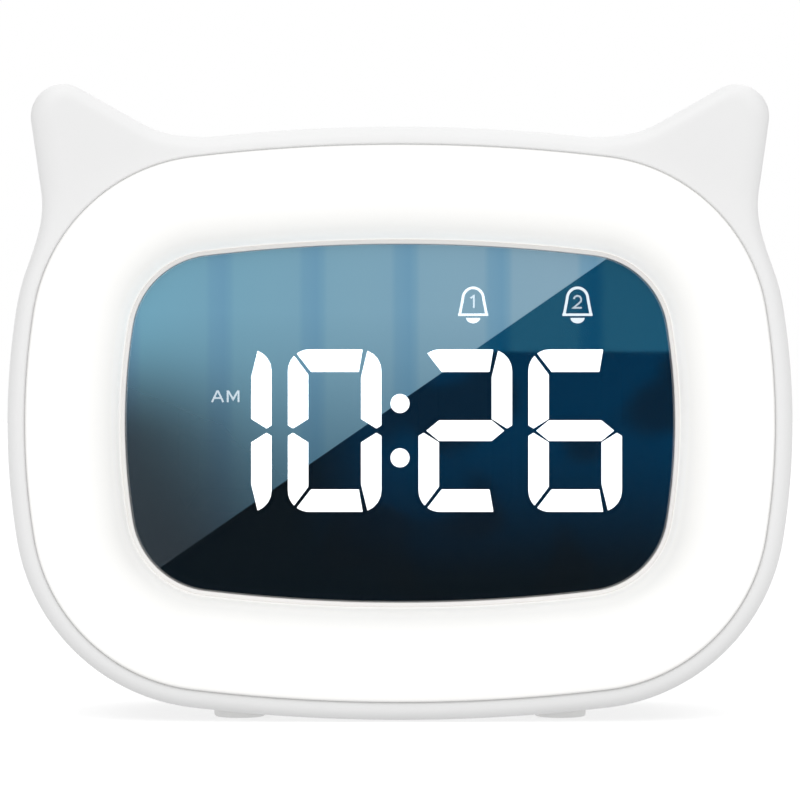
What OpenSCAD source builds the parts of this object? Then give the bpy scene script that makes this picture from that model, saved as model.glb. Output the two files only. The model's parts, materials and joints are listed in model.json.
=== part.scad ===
// Bedside alarm clock for a child, with a glowing ring round a mirror display and a cat-eared housing.
// It is drawn lying on its back: X runs to the right, Y up the face and Z towards the viewer.
// Each sub-part is then stood up, with the face towards -Y and the foot pads at Z = 0.

/* [Housing] */
// Width of the housing
body_w = 135; // [128:1:150]
// Height of the housing without ears and feet
body_h = 102; // [98:1:112]
// Depth from the crown of the light ring to the key caps
body_d = 50; // [48:1:60]
// Radius of the four corners
corner_r = 34.5; // [32:0.5:37]
// Radius of the bowed top and bottom edges
top_bow_r = 300; // [240:10:500]
// Radius of the bowed sides
side_bow_r = 125; // [110:5:250]
// Wall of the housing and of the back cover
wall = 1.8; // [1.6:0.1:2.2]
// Thickness of the housing's front rim
rim_t = 2; // [1.6:0.1:2.4]
// Rounding of the front edge
edge_r = 2.4; // [1.5:0.1:2.6]

/* [Ears] */
// Height of the ear tips above the housing
ear_rise = 7.4; // [4:0.2:12]
// Distance of the centre of an ear tip from the housing's side
ear_inset = 9.6; // [7:0.2:14]
// Radius of an ear tip
ear_tip_r = 5.6; // [4:0.2:7]
// Radius of an ear at its root, about the corner's centre
ear_root_r = 26; // [22:0.5:27]
// Softness of the hollow between an ear and the housing
ear_blend = 4.6; // [2:0.2:6]
// Depth over which an ear keeps its full height, behind the front rim
ear_full_depth = 15; // [10:0.5:18]

/* [Light ring] */
// Width of the housing's rim outside the ring
rim_w = 2.8; // [2.7:0.1:4]
// Width of the ring
ring_w = 16.5; // [14:0.5:18]
// Height of the ring's crown above the rim
ring_proud = 2.6; // [1.5:0.1:4]
// Distance of the crown from the ring's outer edge
crown_in = 6.6; // [5:0.2:9]
// Wall of the diffuser
ring_wall = 1.6; // [1.2:0.1:2]
// Thickness of the diffuser's outer flange
flange_t = 1.6; // [1.2:0.1:2]
// Number of night light LEDs
led_count = 24; // [16:2:32]
// Side of an LED
led_w = 3.5; // [2.8:0.1:5]
// Height of an LED
led_t = 1.2; // [0.8:0.1:2]

/* [Screen] */
// Depth of the mirror lens below the ring's crown
screen_sunk = 6.4; // [5:0.2:8]
// Thickness of the mirror lens
lens_t = 2; // [1.5:0.1:2.5]
// Width of the lip round the lens
lip_w = 0.8; // [0.6:0.1:1.5]
// Height of the lip above the lens
lip_proud = 0.5; // [0.2:0.1:1]
// Width of the ledge that carries the lens
seat_w = 2; // [1.5:0.1:2.5]
// Thickness of the ledge
seat_t = 1.2; // [1:0.1:1.6]

/* [Digits] */
// Width of a digit
digit_w = 16.2; // [14:0.1:17]
// Height of a digit
digit_h = 28.1; // [24:0.1:32]
// Distance between the two digits of a pair
digit_pitch = 19; // [18:0.1:20]
// Extra distance between the two pairs, for the colon
colon_space = 3.6; // [3.4:0.1:5]
// Distance of the digits' middle below the middle of the screen
digit_drop = 1.3; // [0:0.1:3]
// Width of the upright segments
side_stroke = 3.55; // [2.5:0.05:4]
// Height of the top and bottom segments
bar_stroke = 3.9; // [2.5:0.05:4.2]
// Height of the middle segment
mid_stroke = 3.6; // [2.5:0.05:4]
// Radius of a digit's corners
digit_corner_r = 3.7; // [3:0.1:4]
// Gap between segments
segment_gap = 0.45; // [0.3:0.05:0.7]
// Depth of a segment
segment_depth = 6; // [4:0.5:7]
// Radius of a colon dot
colon_r = 1.65; // [1.2:0.05:1.8]
// Distance of a colon dot from the digits' middle
colon_rise = 4.7; // [3:0.1:6]

/* [Inner frame] */
// Distance from the lens's face to the inner frame's plate
light_depth = 9.6; // [9:0.2:12]
// Thickness of the plate
frame_t = 2; // [1.6:0.1:2.5]
// Thickness of the walls on the plate
frame_wall = 1.4; // [1.2:0.1:1.8]
// Thickness of the circuit boards
board_t = 1.2; // [1:0.1:1.6]

/* [Back cover] */
// Depth of the back cover
cover_depth = 16.2; // [15:0.2:18]
// Thickness of its flat panel
back_t = 2; // [1.6:0.1:2.4]
// Distance by which the flat panel stays inside the outline
back_round = 9; // [7:0.5:11]
// Depth of the rounding round the panel
back_round_depth = 9; // [7:0.5:10]
// Depth of the tongue that locates the cover in the housing
tongue_d = 2.8; // [2:0.1:3]
// Thickness of the tongue
tongue_t = 1.2; // [1:0.1:1.4]
// Distance of the cover screws from the outline
screw_inset = 16; // [15:0.5:17]
// Direction of the cover screws, seen from a corner's centre
screw_turn = 37; // [25:1:45]
// Outer diameter of the screw towers
tower_d = 9; // [8.6:0.1:10]
// Diameter of a cover screw's shank
screw_d = 2.9; // [2.5:0.1:3]
// Diameter of a cover screw's head
screw_head_d = 5.6; // [5:0.1:5.8]
// Height of a cover screw's head
screw_head_t = 2.2; // [1.6:0.1:2.4]
// Depth of the hole that hides a screw head
screw_sunk = 10; // [8:0.5:11]

/* [Main board] */
// Width of the main board
main_w = 78; // [74:1:80]
// Height of the main board
main_h = 27; // [26:0.5:30]
// Distance of the main board above the middle
main_rise = 21; // [20:0.5:22]
// Length of the pillars that carry the main board
pillar_h = 8.2; // [7.6:0.1:9]
// Diameter of the pillars
pillar_d = 5.6; // [5:0.1:6]
// Distance of the pillars from the board's edges
pillar_in = 4; // [3.5:0.1:4.5]
// Diameter of a board screw's shank
board_screw_d = 2; // [1.6:0.1:2.2]

/* [Keys] */
// Number of keys on the back
key_count = 5; // [3:1:5]
// Diameter of a key
key_d = 8.4; // [6:0.1:9]
// Height of a key above the back
key_proud = 0.8; // [0.8:0.1:2]
// Distance between keys
key_pitch = 14; // [12.5:0.1:14]
// Distance of the keys above the middle of the main board
key_rise = 3; // [0:0.5:4]
// Travel of a key
key_travel = 0.6; // [0.3:0.1:0.8]
// Width of the flange that keeps a key in
key_flange_w = 1.1; // [0.8:0.1:1.4]
// Thickness of the flange
key_flange_t = 1; // [0.8:0.1:1.2]
// Side of a push switch
switch_w = 6; // [5:0.1:6.5]
// Height of a push switch's case
switch_h = 3.4; // [3:0.1:4]
// Diameter of a switch's stem
stem_d = 3.4; // [2.5:0.1:3.5]
// Height of a stem above its case
stem_proud = 1.2; // [1:0.1:1.6]

/* [Snooze button] */
// Length of the button across the top
snooze_w = 36; // [24:1:44]
// Room between the button's flange and what lies before and behind it
snooze_room = 0.5; // [0.3:0.1:1]
// Travel of the button
snooze_travel = 0.8; // [0.5:0.1:1]
// Length of the button's post below its flange
snooze_post_h = 3; // [2:0.1:4]

/* [Speaker] */
// Diameter of the speaker
speaker_d = 30; // [28:0.5:32]
// Distance of the speaker from the middle, to the left of the face
speaker_left = 22; // [21:0.5:23]
// Distance of the speaker below the middle
speaker_low = 16; // [15:0.5:18]
// Diameter of the grille's holes
grille_hole_d = 2; // [1.4:0.1:2.2]
// Distance between the grille's rings of holes
grille_step = 3.6; // [3.2:0.1:3.8]

// Width of the speaker's edge, which lies on the gasket
speaker_edge_w = 2; // [1.5:0.1:2.5]
// Thickness of the edge
speaker_rim_t = 1.8; // [1.2:0.1:2]
// Height of the basket
basket_h = 6; // [5:0.5:7]
// Thickness of the basket's sheet
basket_t = 0.8; // [0.5:0.1:1]
// Radius of the voice coil
coil_r = 3.6; // [3:0.1:3.6]
// Thickness of the magnet
magnet_t = 3; // [2:0.5:4]
// Thickness of the foam gasket
gasket_t = 0.6; // [0.4:0.1:1]

/* [Battery] */
// Length of the battery
battery_w = 40; // [36:0.5:41]
// Height of the battery, measured up the face
battery_h = 30; // [24:0.5:31]
// Thickness of the battery
battery_t = 9; // [6:0.5:10]
// Distance of the battery's middle from the middle, to the right of the face
battery_right = 19.5; // [19:0.5:20.5]
// Distance of the battery's middle below the middle
battery_low = 16; // [15.5:0.5:18]

/* [Charging port] */
// Width of the port's shell
port_w = 8.94; // [8.5:0.02:9.5]
// Height of the port's shell
port_h = 3.26; // [3:0.02:3.6]
// Distance of the port below the middle of the main board
port_low = 9.5; // [9:0.1:10]
// Depth of the port's mouth below the back
port_sunk = 0.6; // [0.3:0.1:1]

/* [Feet] */
// Diameter of a foot pad
foot_d = 9; // [7:0.5:10]
// Height of a foot pad
foot_t = 2.4; // [2:0.1:2.6]
// Height of the housing's lowest line above the table
foot_proud = 0.3; // [0.2:0.1:1]
// Distance of the foot pads from the middle
foot_out = 28; // [24:0.5:30]

/* [Fits] */
// Clearance between fixed pieces, across the face
fit = 0.15; // [0.1:0.05:0.2]
// Clearance between fixed pieces, along the depth
stack = 0.1; // [0.05:0.05:0.15]
// Clearance round moving pieces
run = 0.25; // [0.2:0.05:0.3]

/* [Hidden] */

$fn = 64;
BIG_FN = 720;
CURVE_STEPS = 5;

housing_white = "#F0F0EF";
glow_white = "#FDFDFB";
lip_white = "#E4E5E6";
board_green = "#2F6B46";
steel = "#B9BCC0";
dark = "#1B1D20";

// The face's outline: arcs for the top, the side and the corner, each touching the next.
half_w = body_w / 2;
half_h = body_h / 2;
top_arc_c = [0, half_h - top_bow_r];
side_arc_c = [half_w - side_bow_r, 0];
bow_gap = norm(side_arc_c - top_arc_c);
bow_dir = (side_arc_c - top_arc_c) / bow_gap;
bow_along = (pow(top_bow_r - corner_r, 2) - pow(side_bow_r - corner_r, 2) + pow(bow_gap, 2)) / (2 * bow_gap);
bow_across = sqrt(pow(top_bow_r - corner_r, 2) - pow(bow_along, 2));
corner_c = top_arc_c + bow_dir * bow_along + [bow_dir[1], -bow_dir[0]] * bow_across;
top_angle = atan2(corner_c[1] - top_arc_c[1], corner_c[0] - top_arc_c[0]);
side_angle = atan2(corner_c[1] - side_arc_c[1], corner_c[0] - side_arc_c[0]);

// Levels along the depth, from the front to the back.
front_z = body_d / 2;
rim_z = front_z - ring_proud;
rim_back_z = rim_z - rim_t;
flange_z = rim_back_z - stack;
screen_z = front_z - screen_sunk;
lip_z = screen_z + lip_proud;
lens_back_z = screen_z - lens_t;
seat_z = lens_back_z - stack;
step_z = seat_z + 0.3;
seat_back_z = seat_z - seat_t;
reflector_z = lens_back_z - 2 * stack;
frame_z = screen_z - light_depth;
frame_back_z = frame_z - frame_t;
back_z = key_proud - body_d / 2;
back_in_z = back_z + back_t;
back_round_z = back_z + back_round_depth;
seam_z = back_z + cover_depth;
board_z = back_in_z + pillar_h;
board_front_z = board_z + board_t;
ear_back_z = seam_z + 0.5;
ear_full_z = rim_z - ear_full_depth;

// Distances inwards from the outline.
ring_out = rim_w + fit;
ring_in = rim_w + ring_w - fit;
crown_inset = ring_out + crown_in;
lip_out = rim_w + ring_w;
screen_edge = lip_out + lip_w;
seat_in = screen_edge + seat_w;
frame_out = wall + run;
lip_wall_out = lip_out - frame_wall;
lip_wall_in = lip_wall_out + frame_wall;
frame_hole = seat_in;

// Places on the boards.
screw_at = corner_c + (corner_r - screw_inset) * [cos(screw_turn), sin(screw_turn)];
pillar_at = [main_w / 2 - pillar_in, main_h / 2 - pillar_in];
key_y = main_rise + key_rise;
port_at = [0, main_rise - port_low];
connector_at = [24, main_rise - main_h / 2 + 3];
connector_h = 5;
light_hole_at = [24, half_h - 9];
speaker_at = [-speaker_left, -speaker_low];
battery_at = [battery_right, -battery_low];
switch_top = switch_h + stem_proud;
stem_in = 1.2;

// The snooze button stands under the top bow, between the inner frame and the cover's tongue.
snooze_z = (frame_back_z + seam_z + tongue_d) / 2;
snooze_depth = frame_back_z - seam_z - tongue_d - 2 * (key_flange_w + snooze_room);
snooze_flange_t = 1.2;
snooze_flange_y = half_h - wall - run - snooze_flange_t;
snooze_switch_y = snooze_flange_y - snooze_post_h - switch_top;
shelf_y = snooze_switch_y - board_t;
shelf_t = 1.6;
shelf_w = snooze_w;
shelf_depth = frame_back_z - snooze_z + snooze_depth / 2 + 0.4;

// Foot pads stand on the table, two under the housing and two under the cover.
foot_top_y = -half_h - foot_proud + foot_t;
front_foot_z = seam_z + foot_d + 8;
rear_foot_z = seam_z - foot_d / 2 - 0.6;

// ---- outline ----

// Distance of a point in the first quarter from the outline without ears.
function from_outline(x, y) =
    let (turn = atan2(y - corner_c[1], x - corner_c[0]))
    turn > top_angle ? norm([x, y] - top_arc_c) - top_bow_r
    : turn < side_angle ? norm([x, y] - side_arc_c) - side_bow_r
    : norm([x, y] - corner_c) - corner_r;

// An ear is a cone with round ends on the corner's centre; share is how much of its height is there.
ear_tip = [half_w - ear_inset, half_h + ear_rise - ear_tip_r];
ear_len = norm(ear_tip - corner_c);
ear_dir = (ear_tip - corner_c) / ear_len;
ear_taper = (ear_root_r - ear_tip_r) / ear_len;
ear_cos = sqrt(1 - ear_taper * ear_taper);

function from_ear(x, y, share) =
    let (
        p = [x, y] - corner_c,
        along = p * ear_dir,
        across = abs(p[0] * ear_dir[1] - p[1] * ear_dir[0]),
        len = share * ear_len,
        side = along * ear_cos - across * ear_taper
    )
    side < 0 ? norm(p) - ear_root_r
    : side > ear_cos * len ? norm([across, along - len]) - ear_root_r + ear_taper * len
    : across * ear_cos + along * ear_taper - ear_root_r;

function soft_min(a, b, k) = let (h = max(k - abs(a - b), 0) / k) min(a, b) - h * h * k / 4;

function from_shell(x, y, share) =
    y <= 0 || share <= 0 ? from_outline(abs(x), abs(y))
    : soft_min(from_outline(abs(x), y), from_ear(abs(x), y, share), ear_blend);

// Distance from the middle at which a ray meets the outline, moved in by inset, found by halving.
NEAR = 15;
FAR = norm(ear_tip) + ear_tip_r + 10;
function reach(dir, inset, share, near = NEAR, far = FAR, steps = 18) =
    let (mid = (near + far) / 2)
    steps == 0 ? mid
    : from_shell(mid * dir[0], mid * dir[1], share) < -inset
        ? reach(dir, inset, share, mid, far, steps - 1)
    : reach(dir, inset, share, near, mid, steps - 1);

function spread(from, to, n) = [for (i = [0 : n - 1]) from + (to - from) * i / n];
function backwards(list) = [for (i = [len(list) - 1 : -1 : 0]) list[i]];

// Rays are closer together where the ears are.
HALF_TURNS = concat(
    spread(-90, 8, 20),
    spread(8, 36, 10),
    spread(36, 50, 11),
    spread(50, 66, 8),
    spread(66, 90, 5)
);
EAR_TURNS = concat(HALF_TURNS, [90], [for (i = [len(HALF_TURNS) - 1 : -1 : 1]) 180 - HALF_TURNS[i]]);
QUARTER_TURNS = concat(spread(0, 14, 3), spread(14, 52, 12), spread(52, 90, 5), [90]);
PLAIN_TURNS = [
    for (side = [0 : 3], i = [0 : len(QUARTER_TURNS) - 2])
        side * 90 + (side % 2 == 0 ? QUARTER_TURNS[i] : 90 - QUARTER_TURNS[len(QUARTER_TURNS) - 1 - i])
];

// One ring of points: [inset, depth, share of the ears]
function ring_points(ring, turns) = [
    for (turn = turns)
        let (dir = [cos(turn), sin(turn)], r = reach(dir, ring[0], ring[2]))
        [r * dir[0], r * dir[1], ring[1]]
];

// A closed skin through rings of points, the last ring joined to the first.
module looped_skin(rings, turns) {
    n = len(turns);
    polyhedron(
        points = [for (ring = rings) each ring_points(ring, turns)],
        faces = [
            for (k = [0 : len(rings) - 1], i = [0 : n - 1], half = [0, 1])
                let (
                    m = (k + 1) % len(rings),
                    j = (i + 1) % n,
                    a = k * n + i,
                    b = k * n + j,
                    c = m * n + j,
                    d = m * n + i
                )
                half == 0 ? [a, c, b] : [a, d, c]
        ],
        convexity = 12
    );
}

// A section of [inset, depth] points taken round the outline without ears, from the outside forwards.
module round_skin(section) {
    looped_skin([for (p = section) [p[0], p[1], 0]], PLAIN_TURNS);
}

// The outline without ears, moved in by inset.
module face_shape(inset) {
    intersection() {
        for_both(top_arc_c)
            circle(top_bow_r - inset, $fn = BIG_FN);
        square([2 * corner_c[0] + 0.5, body_h], center = true);
    }
    intersection() {
        for_both(side_arc_c)
            circle(side_bow_r - inset, $fn = BIG_FN);
        square([body_w, 2 * corner_c[1] + 0.5], center = true);
    }
    for (sx = [-1, 1], sy = [-1, 1])
        translate([sx * corner_c[0], sy * corner_c[1]])
            circle(corner_r - inset, $fn = BIG_FN);
}

// What children at a place and at its opposite have in common.
module for_both(at) {
    intersection() {
        translate(at)
            children();
        translate(-at)
            children();
    }
}

module face_plate(inset, z0, z1) {
    translate([0, 0, z0])
        linear_extrude(z1 - z0)
            face_shape(inset);
}

module face_ring(inset_out, inset_in, z0, z1) {
    translate([0, 0, z0])
        linear_extrude(z1 - z0)
            difference() {
                face_shape(inset_out);
                face_shape(inset_in);
            }
}

// Children at equal turns round the face, at a distance inside the outline.
module round_the_face(n, inset) {
    for (i = [0 : n - 1]) {
        turn = (i + 0.5) * 360 / n;
        dir = [cos(turn), sin(turn)];
        translate(reach(dir, inset, 0) * dir)
            rotate(turn)
                children();
    }
}

module four_ways(at) {
    for (sx = [-1, 1], sy = [-1, 1])
        translate([sx * at[0], sy * at[1]])
            children();
}

module tube(d_out, d_in, z0, z1) {
    translate([0, 0, z0])
        difference() {
            cylinder(d = d_out, h = z1 - z0);
            translate([0, 0, -1])
                cylinder(d = d_in, h = z1 - z0 + 2);
        }
}

module rod(d, z0, z1) {
    translate([0, 0, z0])
        cylinder(d = d, h = z1 - z0);
}

module block(w, h, z0, z1) {
    translate([-w / 2, -h / 2, z0])
        cube([w, h, z1 - z0]);
}

// A bar with round ends, long side along X.
module round_bar(w, h, z0, z1) {
    block(w - h, h, z0, z1);
    for (s = [-1, 1])
        translate([s * (w - h) / 2, 0])
            rod(h, z0, z1);
}

module stand_up() {
    translate([0, 0, half_h + foot_proud])
        rotate([90, 0, 0])
            children();
}

// ---- front housing with the ears ----

// Ears keep their height behind the rim, then fall away in a smooth slope to nothing at the seam.
function ear_share(z) =
    z >= ear_full_z ? 1
    : z <= ear_back_z ? 0
    : let (t = (z - ear_back_z) / (ear_full_z - ear_back_z)) sin(90 * t);

function fade_levels(n, shift) =
    [for (i = [0 : n]) let (t = i / n) ear_back_z + (1 - cos(90 * t)) * (ear_full_z - ear_back_z) + shift];

FADE_STEPS = 7;
EDGE_STEPS = 4;
outer_rings = concat(
    [[0, seam_z, 0]],
    [for (z = fade_levels(FADE_STEPS, 0)) [0, z, ear_share(z)]],
    [
        for (i = [0 : EDGE_STEPS])
            let (t = 90 * i / EDGE_STEPS)
            [edge_r * (1 - cos(t)), rim_z - edge_r * (1 - sin(t)), 1]
    ]
);
rim_rings = [[rim_w, rim_z, 0], [rim_w, rim_back_z, 0]];
inner_rings = concat(
    [[wall, rim_back_z, 1]],
    [
        for (i = [FADE_STEPS : -1 : 1])
            let (z = fade_levels(FADE_STEPS, wall)[i])
            [wall, z, ear_share(z - wall)]
    ],
    [[wall, seam_z, 0]]
);

module snooze_outline(grow) {
    round_bar(snooze_w + 2 * grow, snooze_depth + 2 * grow, -1, 2 * wall + 6);
}

module snooze_place() {
    translate([0, half_h - wall - 3, snooze_z])
        rotate([-90, 0, 0])
            children();
}

module foot_places() {
    for (sx = [-1, 1], z = [front_foot_z, rear_foot_z])
        translate([sx * foot_out, foot_top_y, z])
            rotate([90, 0, 0])
                children();
}

module front_housing() {
    color(housing_white)
        stand_up()
            difference() {
                looped_skin(concat(outer_rings, rim_rings, inner_rings), EAR_TURNS);
                snooze_place()
                    snooze_outline(run);
                foot_places()
                    rod(foot_d + 2 * fit, 0, foot_t);
            }
}

// ---- glowing ring, lens and display ----

// The ring's section: a steep shoulder up to the crown, then a long fall to the lens.
function ring_curve(outer, inner, drop) = concat(
    [
        for (i = [0 : CURVE_STEPS])
            let (t = 90 * i / CURVE_STEPS)
            [crown_inset + (outer - crown_inset) * cos(t), rim_z - drop + ring_proud * sin(t)]
    ],
    [
        for (i = [1 : CURVE_STEPS])
            let (t = 90 * i / CURVE_STEPS)
            [crown_inset + (inner - crown_inset) * sin(t), lip_z - drop + (front_z - lip_z) * cos(t)]
    ]
);

module light_diffuser() {
    flange_back_z = flange_z - flange_t;
    section = concat(
        [[wall + fit, flange_back_z], [wall + fit, flange_z], [ring_out, flange_z]],
        ring_curve(ring_out, ring_in, 0),
        [[ring_in, step_z + stack], [ring_in - ring_wall, step_z + stack]],
        backwards(ring_curve(ring_out + ring_wall, ring_in - ring_wall, ring_wall)),
        [[ring_out + ring_wall, flange_back_z]]
    );
    color(glow_white)
        stand_up()
            round_skin(section);
}

// A lip round the lens, the ledge under the lens and the flange under the ring.
module screen_frame() {
    color(lip_white)
        stand_up() {
            face_ring(lip_out, screen_edge, step_z, lip_z);
            face_ring(lip_wall_out, screen_edge, seat_z, step_z);
            face_ring(lip_wall_out, seat_in, seat_back_z, seat_z);
        }
}

module mirror_lens() {
    color("#16324A", 0.6)
        stand_up()
            face_plate(screen_edge + fit, lens_back_z, screen_z);
}

// Segments of a digit whose middle is at the origin: upright, top bar and middle bar.
seg_w = digit_w / 2;
seg_h = digit_h / 2;
tip_in = 2 * segment_gap;

function corner_arc(sx, from, to) = [
    for (i = [0 : 4])
        let (t = from + (to - from) * i / 4)
        [
            sx * (seg_w - digit_corner_r * (1 - cos(t))),
            seg_h - digit_corner_r * (1 - sin(t))
        ]
];

// The right upright takes the whole upper corner.
right_upright = concat(
    [[seg_w, tip_in]],
    corner_arc(1, 0, 70),
    [
        [seg_w - side_stroke, seg_h - bar_stroke - tip_in],
        [seg_w - side_stroke, mid_stroke / 2 + segment_gap / 2],
        [seg_w - tip_in, segment_gap * 0.8]
    ]
);

// The left upright shares its corner with the top bar.
left_upright = concat(
    [[-seg_w, tip_in]],
    corner_arc(-1, 0, 45),
    [
        [side_stroke - seg_w, seg_h - bar_stroke - segment_gap],
        [side_stroke - seg_w, mid_stroke / 2 + segment_gap / 2],
        [tip_in - seg_w, segment_gap * 0.8]
    ]
);

top_bar = concat(
    corner_arc(-1, 54, 90),
    [
        [seg_w - digit_corner_r + segment_gap, seg_h],
        [seg_w - side_stroke - segment_gap * 0.8, seg_h - bar_stroke],
        [side_stroke - seg_w + segment_gap, seg_h - bar_stroke]
    ]
);

middle_bar = [
    for (s = [1, -1])
        each [
            [-s * (seg_w - tip_in - segment_gap), 0],
            [-s * (seg_w - side_stroke), s * mid_stroke / 2],
            [s * (seg_w - side_stroke), s * mid_stroke / 2]
        ]
];

module segments(z0, z1) {
    translate([0, 0, z0])
        linear_extrude(z1 - z0) {
            polygon(middle_bar);
            for (flip = [0, 1])
                mirror([0, flip]) {
                    polygon(right_upright);
                    polygon(left_upright);
                    polygon(top_bar);
                }
        }
}

digit_x = colon_space / 2 + digit_pitch / 2;
digit_places = [-digit_x - digit_pitch, -digit_x, digit_x, digit_x + digit_pitch];

module digit(place) {
    color("white")
        stand_up()
            translate([digit_places[place], -digit_drop])
                segments(reflector_z - segment_depth, reflector_z);
}

module hour_tens_digit() digit(0);
module hour_units_digit() digit(1);
module minute_tens_digit() digit(2);
module minute_units_digit() digit(3);

module dots(z0, z1) {
    for (s = [-1, 1])
        translate([0, s * colon_rise - digit_drop])
            rod(2 * colon_r, z0, z1);
}

module colon_dots() {
    color("white")
        stand_up()
            dots(reflector_z - segment_depth, reflector_z);
}

module display_reflector() {
    color(dark)
        stand_up()
            difference() {
                face_plate(seat_in + fit, frame_back_z, reflector_z);
                for (x = digit_places)
                    translate([x, -digit_drop])
                        segments(reflector_z - segment_depth, reflector_z + 1);
                dots(reflector_z - segment_depth, reflector_z + 1);
            }
}

// The display board spans the inner frame's hole and is screwed to its plate above and below.
display_w = 2 * (screw_at[0] - tower_d / 2 - run);
display_screw_in = 3;
display_h = 2 * (half_h - frame_hole) + 4 * display_screw_in;
display_screw_at = [30, display_h / 2 - display_screw_in];

module display_board() {
    color(board_green)
        stand_up()
            difference() {
                block(display_w, display_h, frame_back_z - board_t, frame_back_z);
                four_ways(display_screw_at)
                    rod(board_screw_d + 2 * fit, frame_back_z - board_t - 1, frame_back_z + 1);
            }
}

// ---- inner frame and night light ----

module inner_frame() {
    color("#E9E9E6")
        stand_up()
            difference() {
                union() {
                    face_ring(frame_out, frame_hole, frame_back_z, frame_z);
                    face_ring(frame_out, frame_out + frame_wall, frame_z, flange_z - flange_t - stack);
                    face_ring(lip_wall_out, lip_wall_in, frame_z, seat_back_z - stack);
                    four_ways(screw_at)
                        rod(tower_d, seam_z + stack, frame_back_z + 0.5);
                    snooze_shelf();
                }
                four_ways(screw_at)
                    rod(screw_d + 2 * stack, seam_z - 1, frame_back_z - 1);
                four_ways(display_screw_at)
                    rod(board_screw_d + 2 * stack, frame_back_z - 1, frame_z - 0.4);
                translate(light_hole_at)
                    rod(2 * light_lead_d, frame_back_z - 1, frame_z + 1);
            }
}

// A shelf behind the plate carries the snooze switch, on two ribs.
module snooze_shelf() {
    rib_t = 1.6;
    rib_y = shelf_y - shelf_t + 0.2;
    rib_h = rib_y - display_h / 2 - run;
    shelf_back_z = frame_back_z - shelf_depth;
    translate([0, shelf_y - shelf_t / 2])
        block(shelf_w, shelf_t, shelf_back_z, frame_back_z + 0.5);
    for (s = [-1, 1])
        translate([s * (shelf_w / 2 - 4) - rib_t / 2, rib_y, frame_back_z + 0.5])
            rotate([0, 90, 0])
                linear_extrude(rib_t)
                    polygon([[0, 0], [shelf_depth, 0], [0, -rib_h]]);
}

module light_board() {
    color("#F4F5F2")
        stand_up()
            face_ring(frame_out + frame_wall + fit, lip_wall_out - fit, frame_z, frame_z + board_t);
}

module night_leds() {
    color("#FFF3C4")
        stand_up()
            round_the_face(led_count, (frame_out + frame_wall + lip_wall_out) / 2)
                block(led_w, led_w, frame_z + board_t, frame_z + board_t + led_t);
}

// ---- snooze button ----

module snooze_button() {
    top_skin = 0.02;
    color(housing_white)
        stand_up() {
            intersection() {
                snooze_place()
                    snooze_outline(0);
                translate([top_arc_c[0], top_arc_c[1], snooze_z])
                    cylinder(r = top_bow_r - top_skin, h = 4 * snooze_depth, center = true, $fn = BIG_FN);
                translate([0, half_h, snooze_z])
                    cube([body_w, 2 * (half_h - snooze_flange_y) - 0.2, 4 * snooze_depth], center = true);
            }
            translate([0, snooze_flange_y, snooze_z])
                rotate([-90, 0, 0]) {
                    round_bar(snooze_w + 2 * key_flange_w, snooze_depth + 2 * key_flange_w, 0, flange_top());
                    rod(stem_d, -snooze_post_h, 0.1);
                }
        }
}

// The bow leaves less room above the flange towards its ends.
function flange_top() =
    snooze_flange_t - (top_bow_r - sqrt(pow(top_bow_r, 2) - pow(snooze_w / 2 + key_flange_w, 2)));

module snooze_stem() {
    color("#2A2A2C")
        stand_up()
            translate([0, snooze_switch_y, snooze_z])
                rotate([-90, 0, 0])
                    rod(stem_d - 0.4, switch_h - stem_in, switch_top);
}

module push_switch(travel) {
    difference() {
        block(switch_w, switch_w, 0, switch_h);
        rod(stem_d, switch_h - stem_in - travel - run, switch_h + 1);
    }
}

module snooze_switch() {
    color("#3A3B3E")
        stand_up()
            translate([0, snooze_switch_y, snooze_z])
                rotate([-90, 0, 0])
                    push_switch(snooze_travel);
}

module snooze_board() {
    color(board_green)
        stand_up()
            translate([0, shelf_y, snooze_z])
                rotate([-90, 0, 0])
                    block(shelf_w - 4, snooze_depth, 0, board_t);
}

// ---- main board with its keys and port ----

module main_board() {
    color(board_green)
        stand_up()
            difference() {
                translate([0, main_rise])
                    block(main_w, main_h, board_z, board_front_z);
                translate([0, main_rise])
                    four_ways(pillar_at)
                        rod(board_screw_d + 2 * fit, board_z - 1, board_front_z + 1);
            }
}

module board_chips() {
    color("#26272A")
        stand_up() {
            translate([0, main_rise])
                block(10, 10, board_front_z, board_front_z + 1.6);
            translate([-20, main_rise - 3])
                block(5, 6, board_front_z, board_front_z + 1.5);
            translate([20, main_rise - 3])
                block(5, 4, board_front_z, board_front_z + 1.5);
            for (s = [-1, 1])
                translate([s * connector_at[0], connector_at[1]])
                    block(7.5, 5, board_front_z, board_front_z + connector_h);
        }
}

key_xs = [for (i = [0 : key_count - 1]) (i - (key_count - 1) / 2) * key_pitch];

// A key's own frame: the back of the key points to -Z, and its switch stands on the main board.
module key_place(i) {
    if (i < key_count)
        translate([key_xs[i], key_y])
            children();
}

module key_switches() {
    color("#3A3B3E")
        stand_up()
            for (i = [0 : key_count - 1])
                key_place(i)
                    translate([0, 0, board_z])
                        mirror([0, 0, 1])
                            push_switch(key_travel);
}

key_flange_z = back_in_z + run;

module key(i) {
    color("#DCDCDB")
        stand_up()
            key_place(i) {
                difference() {
                    rod(key_d, back_z - key_proud, key_flange_z + 0.1);
                    translate([0, 0, back_z - key_proud - key_d * 1.5 + 0.35])
                        sphere(r = key_d * 1.5);
                }
                rod(key_d + 2 * key_flange_w, key_flange_z, key_flange_z + key_flange_t);
                rod(stem_d, key_flange_z + key_flange_t - 0.1, board_z - switch_top);
            }
}

module key_stem(i) {
    color("#2A2A2C")
        stand_up()
            key_place(i)
                rod(stem_d - 0.4, board_z - switch_top, board_z - switch_h + stem_in);
}

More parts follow.
